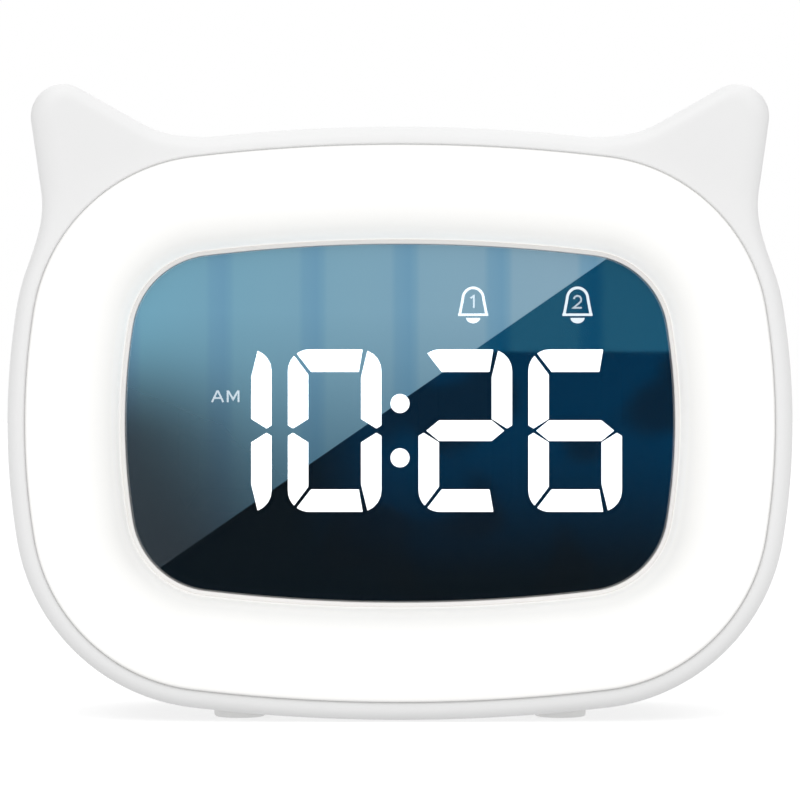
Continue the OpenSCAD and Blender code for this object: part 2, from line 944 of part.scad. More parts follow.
module set_key() key(4);
module alarm_key() key(3);
module up_key() key(2);
module down_key() key(1);
module light_key() key(0);
module set_stem() key_stem(4);
module alarm_stem() key_stem(3);
module up_stem() key_stem(2);
module down_stem() key_stem(1);
module light_stem() key_stem(0);

// The port's shell opens to the back, with a tongue in its middle.
module charging_port() {
    shell_t = 0.3;
    mouth_z = back_z + port_sunk;
    floor_z = board_z - 2.4;
    color(steel)
        stand_up()
            translate(port_at) {
                difference() {
                    round_bar(port_w, port_h, mouth_z, board_z);
                    round_bar(port_w - 2 * shell_t, port_h - 2 * shell_t, mouth_z - 1, floor_z);
                }
                block(port_w - 2.25, 0.7, mouth_z + 0.8, floor_z + 0.1);
            }
}

// ---- speaker ----

speaker_z = back_in_z + gasket_t;
magnet_d = speaker_d * 0.56;
magnet_z = speaker_z + basket_h;
basket_hole_r = coil_r + 0.4;

module speaker_place() {
    stand_up()
        translate(speaker_at)
            children();
}

module speaker_gasket() {
    color(dark)
        speaker_place()
            tube(speaker_d, speaker_d - 2 * speaker_edge_w, back_in_z, speaker_z);
}

module speaker_frame() {
    r = speaker_d / 2;
    color(steel)
        speaker_place()
            rotate_extrude()
                polygon([
                    [r - speaker_edge_w, speaker_z],
                    [r, speaker_z],
                    [r, speaker_z + speaker_rim_t],
                    [r - speaker_edge_w * 0.8, speaker_z + speaker_rim_t],
                    [magnet_d / 2 + 1.5, magnet_z],
                    [basket_hole_r, magnet_z],
                    [basket_hole_r, magnet_z - basket_t],
                    [magnet_d / 2 + 1, magnet_z - basket_t],
                    [r - speaker_edge_w, speaker_z + 1]
                ]);
}

// From the middle: the dust cap, the cone, the rolled surround and the voice coil behind the cap.
module speaker_cone() {
    r = speaker_d / 2 - speaker_edge_w - stack;
    cap_r = coil_r + 1;
    coil_end_z = speaker_z + basket_h - 1;
    color("#303236")
        speaker_place()
            rotate_extrude()
                polygon([
                    [0, speaker_z + 1.4],
                    [cap_r, speaker_z + 2.6],
                    [cap_r + 0.8, speaker_z + 2.6],
                    [r - 2.4, speaker_z + 0.4],
                    [r - 1.4, speaker_z + 0.2],
                    [r, speaker_z + 0.5],
                    [r, speaker_z + 0.9],
                    [r - 1.4, speaker_z + 0.6],
                    [r - 2.2, speaker_z + 0.8],
                    [cap_r + 0.4, speaker_z + 3.2],
                    [coil_r, coil_end_z],
                    [coil_r - 0.4, coil_end_z],
                    [coil_r, speaker_z + 2.9],
                    [0, speaker_z + 1.9]
                ]);
}

module speaker_magnet() {
    color("#55585C")
        speaker_place() {
            rod(magnet_d, magnet_z, magnet_z + magnet_t);
            rod(2 * (coil_r - 0.6), magnet_z - basket_t, magnet_z + 0.1);
        }
}

// ---- battery ----

pad_t = 0.8;

module battery_pad() {
    color("#4B4D52")
        stand_up()
            translate(battery_at)
                block(battery_w - 8, battery_h - 8, back_in_z, back_in_z + pad_t);
}

// A pouch cell: a flat pack with round long edges and its circuit in the folded end.
module battery_cell() {
    z0 = back_in_z + pad_t;
    edge = 2;
    color("#A9B4BC")
        stand_up()
            translate([battery_at[0] - battery_w / 2, battery_at[1], z0])
                rotate([90, 0, 90])
                    linear_extrude(battery_w) {
                        for (s = [-1, 1])
                            for (y = [edge, battery_t - edge])
                                translate([s * (battery_h / 2 - edge), y])
                                    circle(edge);
                        translate([-battery_h / 2, edge])
                            square([battery_h, battery_t - 2 * edge]);
                        translate([edge - battery_h / 2, 0])
                            square([battery_h - 2 * edge, battery_t]);
                    }
}

// ---- leads ----

battery_lead_d = 1.8;
speaker_lead_d = 1.2;
light_lead_d = 1.6;
snooze_lead_d = 1;
lead_bend = 7;

function curve_at(a, b, c, d, t) =
    a * pow(1 - t, 3) + b * 3 * t * pow(1 - t, 2) + c * 3 * t * t * (1 - t) + d * pow(t, 3);

// A lead leaves one place and comes down on another, each end in its own direction.
module lead(d, from, from_way, to, to_way) {
    sides = 8;
    steps = 14;
    line = [for (i = [0 : steps]) curve_at(from, from + from_way, to + to_way, to, i / steps)];
    function way(i) =
        let (w = i == 0 ? from_way : i == steps ? -to_way : line[i + 1] - line[i - 1]) w / norm(w);
    function ring(i) =
        let (w = way(i), u0 = [1, 0, 0] - w[0] * w, u = u0 / norm(u0), v = cross(w, u))
        [for (k = [0 : sides - 1]) line[i] + d / 2 * (cos(k * 360 / sides) * u + sin(k * 360 / sides) * v)];
    polyhedron(
        points = [for (i = [0 : steps]) each ring(i)],
        faces = concat(
            [for (k = [1 : sides - 2]) [0, k, k + 1]],
            [
                for (i = [0 : steps - 1], k = [0 : sides - 1])
                    let (j = (k + 1) % sides)
                    each [
                        [i * sides + k, (i + 1) * sides + k, (i + 1) * sides + j],
                        [i * sides + k, (i + 1) * sides + j, i * sides + j]
                    ]
            ],
            [for (k = [1 : sides - 2]) let (e = steps * sides) [e, e + k + 1, e + k]]
        )
    );
}

module battery_lead() {
    from = [battery_at[0] + battery_w / 4, battery_at[1] + battery_h / 2, back_in_z + pad_t + battery_t - 3];
    to = [connector_at[0], connector_at[1], board_front_z + connector_h];
    color("#8E1F1F")
        stand_up()
            lead(battery_lead_d, from, [0, lead_bend, 0], to, [0, 0, 2 * lead_bend]);
}

module speaker_lead() {
    rim_y = speaker_at[1] + speaker_d / 2 - 0.8;
    from = [speaker_at[0], rim_y, speaker_z + speaker_rim_t];
    to = [-connector_at[0], connector_at[1], board_front_z + connector_h];
    color("#2B2C2F")
        stand_up()
            lead(speaker_lead_d, from, [0, 0, 1.5 * lead_bend], to, [0, 0, lead_bend]);
}

module light_lead() {
    from = [light_hole_at[0], light_hole_at[1], frame_z];
    to = [light_hole_at[0] - light_lead_d, main_rise + main_h / 4, board_front_z];
    color("#E8E8E2")
        stand_up()
            lead(light_lead_d, from, [0, 0, -2 * lead_bend], to, [0, 0, lead_bend]);
}

module snooze_lead() {
    from = [shelf_w / 3, shelf_y + board_t / 2, snooze_z - snooze_depth / 2];
    to = [shelf_w / 3, main_rise + main_h / 2 - 3.5, board_front_z];
    color("#E8E8E2")
        stand_up()
            lead(snooze_lead_d, from, [0, 0, -lead_bend], to, [0, 0, lead_bend / 2]);
}

// A flat cable that hangs in an S between the display board and the main board.
module display_ribbon() {
    ribbon_w = 10;
    ribbon_t = 0.4;
    steps = 12;
    from_y = 0;
    to_y = main_rise - 9;
    z0 = frame_back_z - board_t;
    z1 = board_front_z;
    edge = [
        for (i = [0 : steps])
            let (t = i / steps)
            [z0 + (z1 - z0) * t, from_y + (to_y - from_y) * (3 * t * t - 2 * pow(t, 3))]
    ];
    color("#D9D9D2")
        stand_up()
            translate([ribbon_w / 2, 0, 0])
                rotate([0, -90, 0])
                    linear_extrude(ribbon_w)
                        polygon(concat(edge, [for (p = backwards(edge)) p + [0, ribbon_t]]));
}

// ---- back cover ----

// Quarter of an ellipse from the side wall to the flat panel, moved in by t.
function cover_curve(t) = [
    for (i = [0 : CURVE_STEPS])
        let (a = 90 * i / CURVE_STEPS)
        [back_round - (back_round - t) * cos(a), back_round_z - (back_round_depth - t) * sin(a)]
];

function grille_ring(n) = n == 0 ? 1 : 6 * n;

module grille_holes() {
    for (n = [0 : 3], i = [0 : grille_ring(n) - 1])
        rotate(i * 360 / grille_ring(n) + n * 15)
            translate([n * grille_step, 0])
                rod(grille_hole_d, back_z - 1, back_in_z + 1);
}

// Ribs round the battery, open at the corners.
module battery_ribs() {
    rib_t = 1.2;
    rib_h = 5;
    for (s = [-1, 1]) {
        translate([s * (battery_w / 2 + run + rib_t / 2), 0])
            block(rib_t, battery_h - 8, back_in_z - 0.5, back_in_z + rib_h);
        translate([0, s * (battery_h / 2 + run + rib_t / 2)])
            block(battery_w - 8, rib_t, back_in_z - 0.5, back_in_z + rib_h);
    }
}

module back_cover() {
    tongue_out = wall + fit;
    tongue_in = tongue_out + tongue_t;
    section = concat(
        [[back_round + 1, back_z]],
        backwards(cover_curve(0)),
        [
            [0, seam_z],
            [tongue_out, seam_z],
            [tongue_out, seam_z + tongue_d],
            [tongue_in, seam_z + tongue_d],
            [tongue_in, seam_z - 1.2],
            [wall, seam_z - 2.6]
        ],
        cover_curve(wall),
        [[back_round + 1, back_in_z]]
    );
    head_z = back_z + screw_sunk;
    color(housing_white)
        stand_up()
            difference() {
                union() {
                    round_skin(section);
                    face_plate(back_round + 0.5, back_z, back_in_z);
                    four_ways(screw_at)
                        rod(tower_d, back_in_z - 0.5, seam_z);
                    translate([0, main_rise])
                        four_ways(pillar_at)
                            rod(pillar_d, back_in_z - 0.5, board_z);
                    translate(speaker_at)
                        tube(speaker_d + 2 * run + 2.4, speaker_d + 2 * run, back_in_z - 0.5, back_in_z + 4);
                    translate(battery_at)
                        battery_ribs();
                }
                four_ways(screw_at) {
                    rod(screw_d + 2 * fit, back_z, seam_z + 1);
                    rod(screw_head_d + 4 * fit, back_z - 1, head_z);
                }
                translate([0, main_rise])
                    four_ways(pillar_at)
                        rod(board_screw_d + 2 * stack, back_in_z + 1, board_z + 1);
                for (i = [0 : key_count - 1])
                    key_place(i)
                        rod(key_d + 2 * run, back_z - 1, back_in_z + 1);
                translate(port_at)
                    round_bar(port_w + 2 * run, port_h + 2 * run, back_z - 1, back_in_z + 1);
                translate(speaker_at)
                    grille_holes();
                foot_places()
                    rod(foot_d + 2 * fit, 0, foot_t);
            }
}

// ---- fasteners and feet ----

module screw(shank_d, head_d, head_t, length) {
    rod(shank_d, -head_t * 0.4, length);
    difference() {
        rod(head_d, -head_t, 0);
        for (turn = [0, 90])
            rotate(turn)
                block(head_d * 0.62, head_d * 0.16, -head_t - 1, -head_t * 0.45);
    }
}

module cover_screws() {
    head_z = back_z + screw_sunk;
    color(steel)
        stand_up()
            four_ways(screw_at)
                translate([0, 0, head_z])
                    screw(screw_d, screw_head_d, screw_head_t, frame_back_z - 2 - head_z);
}

module board_screws() {
    color(steel)
        stand_up() {
            translate([0, main_rise])
                four_ways(pillar_at)
                    translate([0, 0, board_front_z])
                        mirror([0, 0, 1])
                            screw(board_screw_d, board_screw_d * 1.9, 1.4, board_t + 5);
            four_ways(display_screw_at)
                translate([0, 0, frame_back_z - board_t])
                    screw(board_screw_d, board_screw_d * 1.9, 1.4, board_t + frame_t - 0.6);
        }
}

module foot_pads() {
    color("#C9CACA")
        stand_up()
            foot_places()
                rod(foot_d, 0, foot_t);
}

front_housing();
light_diffuser();
screen_frame();
mirror_lens();
display_reflector();
hour_tens_digit();
hour_units_digit();
minute_tens_digit();
minute_units_digit();
colon_dots();
display_board();
inner_frame();
light_board();
night_leds();
snooze_button();
snooze_stem();
snooze_switch();
snooze_board();
main_board();
board_chips();
key_switches();
charging_port();
set_key();
alarm_key();
up_key();
down_key();
light_key();
set_stem();
alarm_stem();
up_stem();
down_stem();
light_stem();
speaker_gasket();
speaker_frame();
speaker_cone();
speaker_magnet();
battery_pad();
battery_cell();
battery_lead();
speaker_lead();
light_lead();
snooze_lead();
display_ribbon();
back_cover();
cover_screws();
board_screws();
foot_pads();
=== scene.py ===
"""Looks of a cat-eared alarm clock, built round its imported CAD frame.

Shapes are worked out in the clock's own drawing frame, in millimetres: x runs to the right, y up the face
and z towards the viewer. The row frame has x to the right, z up and the face towards -y.
"""

import json
from math import cos, pi, radians, sin, sqrt

import bmesh
import bpy
import numpy as np
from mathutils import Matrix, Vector


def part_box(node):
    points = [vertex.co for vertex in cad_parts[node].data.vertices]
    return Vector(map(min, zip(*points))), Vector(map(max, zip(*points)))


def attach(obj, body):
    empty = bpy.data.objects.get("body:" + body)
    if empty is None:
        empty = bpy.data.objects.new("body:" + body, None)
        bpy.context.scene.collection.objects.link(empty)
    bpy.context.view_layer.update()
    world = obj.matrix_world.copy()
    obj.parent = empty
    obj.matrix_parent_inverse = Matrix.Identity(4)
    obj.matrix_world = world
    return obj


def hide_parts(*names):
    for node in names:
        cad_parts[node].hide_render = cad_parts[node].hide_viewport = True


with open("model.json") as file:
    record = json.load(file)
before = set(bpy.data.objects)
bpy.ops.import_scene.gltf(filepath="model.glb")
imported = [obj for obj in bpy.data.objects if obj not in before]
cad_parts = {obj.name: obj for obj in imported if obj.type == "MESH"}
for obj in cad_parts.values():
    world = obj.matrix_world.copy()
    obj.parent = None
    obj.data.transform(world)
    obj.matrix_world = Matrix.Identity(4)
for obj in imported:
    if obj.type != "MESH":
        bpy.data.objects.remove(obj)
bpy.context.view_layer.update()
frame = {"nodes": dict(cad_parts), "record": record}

MM = 0.001
BODY = "clock"


def box_mm(node):
    """Lowest and highest corner of a CAD node at rest, in millimetres of the row frame."""
    return [np.array(corner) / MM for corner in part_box(node)]


# ---- sizes, in millimetres ----

front_low, front_high = box_mm("front_housing")
lens_low, lens_high = box_mm("mirror_lens")

# outline of the face, whose quarters have a top bow, a side bow and a corner arc
HALF_W = (front_high[0] - front_low[0]) / 2
HALF_H = 51.0
CORNER_R = 34.5
TOP_BOW_R = 300.0
SIDE_BOW_R = 125.0
# the middle's height over the surface that the feet stand on
FOOT_PROUD = 0.3
LIFT = HALF_H + FOOT_PROUD

# ears
EAR_RISE = 7.4
EAR_INSET = 9.6
EAR_TIP_R = 5.6
EAR_ROOT_R = 26.0
EAR_BLEND = 4.6
EAR_FULL_DEPTH = 15.0
EAR_SOFT = 2.2

# front housing, with its rim round the light ring
WALL = 1.8
EDGE_R = 2.4
RIM_W = 3.2
RIM_T = 2.0
RIM_BEVEL = 0.5

# light ring
RING_W = 16.1
RING_PROUD = 2.6
RING_WALL = 1.6
FLANGE_T = 1.6
CROWN_IN = 6.2

# lip round the screen, and the ledge that carries the lens
LIP_W = 0.8
LIP_PROUD = 0.5
SEAT_W = 2.0
SEAT_T = 1.2
STEP_T = 0.3
FRAME_WALL = 1.4

# back cover
BACK_T = 2.0
BACK_ROUND = 9.0
TONGUE_T = 1.2
TONGUE_D = 2.8

# round groove at the seam, with the middle point of its rounding
GROOVE = 0.3
GROOVE_IN, GROOVE_UP = GROOVE * 0.3, GROOVE * 0.4

# clearances
FIT = 0.15
STACK = 0.1
RUN = 0.25
FINE = 0.04

# depths
FRONT_Z = -box_mm("light_diffuser")[0][1]
RIM_Z = FRONT_Z - RING_PROUD
RIM_BACK_Z = RIM_Z - RIM_T
FLANGE_Z = RIM_BACK_Z - STACK
SCREEN_Z = -lens_low[1]
LENS_BACK_Z = -lens_high[1]
LIP_Z = SCREEN_Z + LIP_PROUD
SEAT_Z = LENS_BACK_Z - STACK
STEP_Z = SEAT_Z + STEP_T
REFLECTOR_Z = LENS_BACK_Z - 2 * STACK
SEAM_Z = -front_high[1]
BACK_Z = -box_mm("back_cover")[1][1]
BACK_IN_Z = BACK_Z + BACK_T
EAR_BACK_Z = SEAM_Z + 0.5
EAR_FULL_Z = RIM_Z - EAR_FULL_DEPTH

# insets from the outline
RING_OUT = RIM_W + FINE
CROWN_INSET = RING_OUT + CROWN_IN
RING_IN = RIM_W + RING_W - FINE
LIP_OUT = RIM_W + RING_W
SCREEN_EDGE = LIP_OUT + LIP_W


# ---- outline ----

def meeting_arcs():
    """Centres of the top bow, the side bow and the corner arc, which touches both."""
    top, side = np.array([0, HALF_H - TOP_BOW_R]), np.array([HALF_W - SIDE_BOW_R, 0])
    gap = np.linalg.norm(side - top)
    way = (side - top) / gap
    top_r, side_r = TOP_BOW_R - CORNER_R, SIDE_BOW_R - CORNER_R
    along = (top_r ** 2 - side_r ** 2 + gap ** 2) / (2 * gap)
    return top, side, top + way * along + np.array([way[1], -way[0]]) * sqrt(top_r ** 2 - along ** 2)


TOP_C, SIDE_C, CORNER_C = meeting_arcs()
TOP_ANGLE = np.arctan2(*(CORNER_C - TOP_C)[::-1])
SIDE_ANGLE = np.arctan2(*(CORNER_C - SIDE_C)[::-1])
EAR_TIP = np.array([HALF_W - EAR_INSET, HALF_H + EAR_RISE - EAR_TIP_R - FINE])
EAR_LEN = np.linalg.norm(EAR_TIP - CORNER_C)
EAR_DIR = (EAR_TIP - CORNER_C) / EAR_LEN
EAR_TAPER = (EAR_ROOT_R - EAR_TIP_R) / EAR_LEN
EAR_COS = sqrt(1 - EAR_TAPER ** 2)

# where the search for the outline starts, from the middle, and how often it halves
NEAREST, FARTHEST, HALVINGS = 5.0, 110.0, 40
OUTLINE_SAMPLES = 6001


def from_outline(x, y):
    """Distance from the outline without ears, negative inside; x and y are positive."""
    turn = np.arctan2(y - CORNER_C[1], x - CORNER_C[0])
    top = np.hypot(x - TOP_C[0], y - TOP_C[1]) - TOP_BOW_R
    side = np.hypot(x - SIDE_C[0], y - SIDE_C[1]) - SIDE_BOW_R
    corner = np.hypot(x - CORNER_C[0], y - CORNER_C[1]) - CORNER_R
    return np.where(turn > TOP_ANGLE, top, np.where(turn < SIDE_ANGLE, side, corner))


def from_ear(x, y, share):
    """Distance from an ear: a cone with round ends that stands on the corner's centre."""
    px, py = x - CORNER_C[0], y - CORNER_C[1]
    along = px * EAR_DIR[0] + py * EAR_DIR[1]
    across = np.abs(px * EAR_DIR[1] - py * EAR_DIR[0])
    length = share * EAR_LEN
    side = along * EAR_COS - across * EAR_TAPER
    root = np.hypot(px, py) - EAR_ROOT_R
    tip = np.hypot(across, along - length) - EAR_ROOT_R + EAR_TAPER * length
    flank = across * EAR_COS + along * EAR_TAPER - EAR_ROOT_R
    return np.where(side < 0, root, np.where(side > EAR_COS * length, tip, flank))


def from_shell(x, y, share):
    """Distance from the outline with its ears blended in, at this share of their length."""
    plain = from_outline(np.abs(x), np.abs(y))
    if share <= 0:
        return plain
    ear = from_ear(np.abs(x), y, share)
    near = np.maximum(EAR_BLEND - np.abs(plain - ear), 0) / EAR_BLEND
    joined = np.minimum(plain, ear) - near ** 2 * EAR_BLEND / 4
    return np.where(y <= 0, plain, joined)


def reach(turns, inset, share=0.0):
    """Distances from the middle at which rays meet the outline moved in by inset, found by halving."""
    dx, dy = np.cos(turns), np.sin(turns)
    near, far = np.full(len(turns), NEAREST), np.full(len(turns), FARTHEST)
    for _ in range(HALVINGS):
        middle = (near + far) / 2
        inside = from_shell(middle * dx, middle * dy, share) < -inset
        near, far = np.where(inside, middle, near), np.where(inside, far, middle)
    return near


def even_turns(count, inset, share):
    """Directions of rays that cut the outline into equal lengths."""
    turns = np.linspace(-pi / 2, 3 * pi / 2, OUTLINE_SAMPLES)
    r = reach(turns, inset, share)
    steps = np.hypot(np.diff(r * np.cos(turns)), np.diff(r * np.sin(turns)))
    length = np.concatenate([[0], np.cumsum(steps)])
    return np.interp(np.arange(count) * length[-1] / count, length, turns)


PLAIN_TURNS = even_turns(360, SCREEN_EDGE / 2, 0)
EAR_TURNS = even_turns(520, 0, 1)


def ring(inset, depth, share=0.0, turns=PLAIN_TURNS):
    """Points round the outline, moved in by inset, at one depth. The inset may differ from ray to ray."""
    r = reach(turns, inset, share)
    return np.column_stack([r * np.cos(turns), r * np.sin(turns), np.full(len(turns), depth)])


def arc(centre, radii, start, end, steps):
    """Points on a part of an ellipse, from one angle to another, in degrees."""
    turns = np.radians(np.linspace(start, end, steps + 1))
    return [(centre[0] + radii[0] * cos(t), centre[1] + radii[1] * sin(t)) for t in turns]


def stadium(width, height, steps=16):
    """Outline of a bar with round ends."""
    r, out = height / 2, (width - height) / 2
    return arc((out, 0), (r, r), -90, 90, steps) + arc((-out, 0), (r, r), 90, 270, steps)


def moved(path, x, y=0.0):
    return [(px + x, py + y) for px, py in path]


# ---- mesh tools ----

def add_object(name, data):
    made = bpy.data.objects.new(name, data)
    bpy.context.scene.collection.objects.link(made)
    return made


class Shape:
    """Points in the drawing frame, in millimetres, and the faces between them."""

    def __init__(self):
        self.points = []
        self.faces = []

    def add(self, points, faces):
        start = len(self.points)
        self.points += [tuple(float(c) for c in p) for p in points]
        self.faces += [tuple(start + int(i) for i in face) for face in faces]
        return self

    def skin(self, rings, closed=False):
        """Quads between rings of equal length. A closed skin joins the last ring to the first."""
        n, count = len(rings[0]), len(rings)
        faces = [
            (k * n + i, k * n + (i + 1) % n, (k + 1) % count * n + (i + 1) % n, (k + 1) % count * n + i)
            for k in range(count if closed else count - 1)
            for i in range(n)
        ]
        if not closed:
            faces.append(tuple(range(n)))
            faces.append(tuple(range((count - 1) * n, count * n)))
        return self.add([p for r in rings for p in r], faces)

    def prism(self, outline, z0, z1):
        """A flat outline drawn out along z."""
        return self.skin([[(x, y, z) for x, y in outline] for z in (z0, z1)])

    def turned(self, profile, place, sides=64, closed=False):
        """A profile of (radius, height) points turned round its height axis, then put in place."""
        turns = np.arange(sides) * 2 * pi / sides
        rings = [[place((r * cos(t), r * sin(t), h)) for t in turns] for r, h in profile]
        return self.skin(rings, closed)

    def object(self, name, material=None):
        """The shape as an object of the row frame, in metres."""
        mesh = bpy.data.meshes.new(name)
        points = np.array(self.points)
        world = np.column_stack([points[:, 0], -points[:, 2], points[:, 1] + LIFT]) * MM
        mesh.from_pydata(world.tolist(), [], self.faces)
        shaped = bmesh.new()
        shaped.from_mesh(mesh)
        bmesh.ops.recalc_face_normals(shaped, faces=shaped.faces)
        shaped.to_mesh(mesh)
        shaped.free()
        if material:
            mesh.materials.append(material)
        return add_object(name, mesh)


def settle(obj):
    """Replaces an object's mesh by what its modifiers make of it."""
    graph = bpy.context.evaluated_depsgraph_get()
    graph.update()
    made = bpy.data.meshes.new_from_object(obj.evaluated_get(graph))
    obj.modifiers.clear()
    obj.data = made
    return obj


def cut(obj, cutter, operation="DIFFERENCE"):
    """Cuts a shape out of an object, or joins it to the object."""
    tool = cutter.object(obj.name + "_cutter")
    change = obj.modifiers.new("cut", "BOOLEAN")
    change.operation = operation
    change.solver = "EXACT"
    change.use_self = operation == "UNION"
    change.object = tool
    settle(obj)
    bpy.data.objects.remove(tool)


def rounded(obj, width, steps=2, angle=40):
    """Bevels the edges that are sharper than this angle."""
    change = obj.modifiers.new("edges", "BEVEL")
    change.width = width * MM
    change.segments = steps
    change.limit_method = "ANGLE"
    change.angle_limit = radians(angle)
    return settle(obj)


def place(obj, slot, body=BODY, nodes=(), sharp=32):
    """Shades a piece and makes it ride on a body, and hides the nodes that it stands for. Its slot is not
    used.

    The shading is smooth up to sharp edges, and faces with more than four corners keep their own normal.
    """
    for face in obj.data.polygons:
        face.use_smooth = len(face.vertices) <= 4
    obj.data.set_sharp_from_angle(angle=radians(sharp))
    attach(obj, body)
    if nodes:
        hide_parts(*nodes)


# ---- materials ----

# what the light ring, the digits, the bells and the smallest signs give off
GLOW = 0.5
LIT, SIGN_LIT, FAINT_LIT = 3.2, 1.75, 1.05
# how much of the half mirror hides what is behind it, and how bright its painted reflection is
LENS_ALPHA = 0.5
REFLECTION_BRIGHT = 1.08

WHITE = (1, 1, 1, 1)


def linear(colour):
    """Linear colour of a web colour such as #EFEFEF."""
    parts = [int(colour[i:i + 2], 16) / 255 for i in (1, 3, 5)]
    return (*[c / 12.92 if c < 0.04045 else ((c + 0.055) / 1.055) ** 2.4 for c in parts], 1.0)


def socket_name(key):
    """Name of a socket from a keyword: Specular IOR Level from specular_ior_level."""
    return key.replace("_", " ").title().replace("Ior", "IOR")


def fill(tree, node, values):
    """Sets inputs of a node. A socket is linked to its input, and a string is a web colour."""
    for key, value in values.items():
        socket = node.inputs[key]
        if isinstance(value, bpy.types.NodeSocket):
            tree.links.new(value, socket)
        else:
            socket.default_value = linear(value) if isinstance(value, str) else value
    return node


def add_node(tree, kind, values=None, **properties):
    made = tree.nodes.new("ShaderNode" + kind)
    for key, value in properties.items():
        setattr(made, key, value)
    return fill(tree, made, values or {})


def calc(tree, operation, *values):
    """Output of a Math node."""
    return add_node(tree, "Math", dict(enumerate(values)), operation=operation).outputs[0]


class Look:
    """A material with its Principled shader, and short ways to add nodes to it."""

    def __init__(self, name, colour=None, **values):
        self.name = name
        self.material = bpy.data.materials.new(name)
        self.material.use_nodes = True
        self.tree = self.material.node_tree
        self.shader = self.tree.nodes["Principled BSDF"]
        if colour:
            self.on(base_color=colour)
        self.on(**values)
        self.where = self.node("TexCoord").outputs["Object"]

    def on(self, **values):
        """Sets or links inputs of the shader."""
        fill(self.tree, self.shader, {socket_name(key): value for key, value in values.items()})

    def node(self, kind, values=None, **properties):
        return add_node(self.tree, kind, values, **properties)

    def math(self, operation, *values):
        return calc(self.tree, operation, *values)

    def noise(self, size, detail=2.0, rough=0.5, where=None):
        """Noise between 0 and 1, with features of about this size in millimetres."""
        scale = 1 / (size * MM)
        values = {"Vector": where or self.where, "Scale": scale, "Detail": detail, "Roughness": rough}
        return self.node("TexNoise", values).outputs[0]

    def ramp(self, amount, *stops, smooth=False):
        """Values at places between 0 and 1, and what lies between them."""
        made = self.node("ValToRGB", {"Fac": amount})
        ramp = made.color_ramp
        ramp.interpolation = "EASE" if smooth else "LINEAR"
        while len(ramp.elements) < len(stops):
            ramp.elements.new(1.0)
        for element, (at, value) in zip(ramp.elements, stops):
            element.position = at
            element.color = (value, value, value, 1)
        return made.outputs[0]

    def mix(self, amount, low, high):
        """Colour between low and high; its sockets 6, 7 and 2 are the ones for colours."""
        made = self.node("Mix", data_type="RGBA", clamp_factor=True)
        return fill(self.tree, made, {0: amount, 6: low, 7: high}).outputs[2]

    def scale(self, amount, low, high):
        """Amount from 0..1 taken to low..high."""
        return self.math("ADD", self.math("MULTIPLY", amount, high - low), low)

    def bump(self, height, depth):
        """Bump of this depth in millimetres."""
        self.on(normal=self.node("Bump", {"Height": height, "Distance": depth * MM}).outputs[0])


def moulded(name, colour, shadow, roughness=0.4, grain=0.25, depth=0.004, **values):
    """Moulded plastic: a faint cloudiness, a fine spark-eroded grain and uneven gloss."""
    look = Look(name, **values)
    clouds = look.noise(22, detail=3)
    patches = look.noise(4, detail=3)
    look.on(
        base_color=look.mix(look.scale(clouds, 0.0, 0.6), colour, shadow),
        roughness=look.scale(patches, roughness - 0.05, roughness + 0.05),
    )
    look.bump(look.noise(grain, detail=2, rough=0.6), depth)
    return look


def matt_black(name):
    return moulded(name, "#08090A", "#060707", 0.8, specular_ior_level=0.04)


def metal(name, colour, shadow, roughness=0.3, grain=0.3):
    """Metal with streaks, which are finer along the row frame's z."""
    look = Look(name, metallic=1.0)
    stretched = look.node("Mapping", {"Vector": look.where, "Scale": (1.0, 1.0, 8.0)}).outputs[0]
    streaks = look.noise(grain, detail=4, rough=0.7, where=stretched)
    look.on(
        base_color=look.mix(streaks, colour, shadow),
        roughness=look.scale(streaks, roughness - 0.08, roughness + 0.1),
    )
    look.bump(streaks, 0.003)
    return look


def circuit(name, mask, track, cell=1.6):
    """Solder mask over tracks, with pads here and there."""
    look = Look(name, roughness=0.32, specular_ior_level=0.5, coat_weight=0.2, coat_roughness=0.15)
    values = {"Vector": look.where, "Scale": 1 / (cell * MM)}
    cells = look.node("TexVoronoi", values, distance="MANHATTAN", feature="F1").outputs["Distance"]
    lines = look.ramp(cells, (0.0, 1.0), (0.16, 1.0), (0.2, 0.0), (0.44, 0.0), (0.48, 0.8), (0.54, 0.0))
    look.on(base_color=look.mix(lines, mask, track))
    look.bump(lines, 0.03)
    return look


def rubber(name, colour, shadow):
    look = Look(name, roughness=0.62, specular_ior_level=0.35, sheen_weight=0.15, sheen_roughness=0.4)
    look.on(base_color=look.mix(look.noise(3, detail=3), colour, shadow))
    look.bump(look.noise(0.4, detail=3, rough=0.7), 0.015)
    return look


def glow_look():
    """Milky plastic that is lit from behind, as strongly as its glow attribute says, with painted shade and
    painted light worked into that attribute.
    """
    look = moulded("glow_plastic", "#D2D2D1", "#CECECD", 0.34, 0.3, 0.002)
    glow = look.node("Attribute", attribute_name="glow").outputs["Fac"]
    look.on(emission_color="#FFFEFB", emission_strength=look.math("MULTIPLY", glow, GLOW))
    return look


def lit_look(name, strength, colour="#FFFFFF"):
    """Resin in front of an LED, seen through the half mirror."""
    return Look(name, colour, roughness=0.5, emission_color=WHITE, emission_strength=strength)


def plane_ramp(look, x_part, y_part, offset):
    """x_part * x + y_part * y + offset, for x and y in millimetres of the drawing frame."""
    split = look.node("SeparateXYZ", {"Vector": look.where}).outputs
    across = look.math("MULTIPLY", split["X"], x_part / MM)
    up = look.math("MULTIPLY", split["Z"], y_part / MM)
    return look.math("ADD", look.math("ADD", across, up), offset - y_part * LIFT)


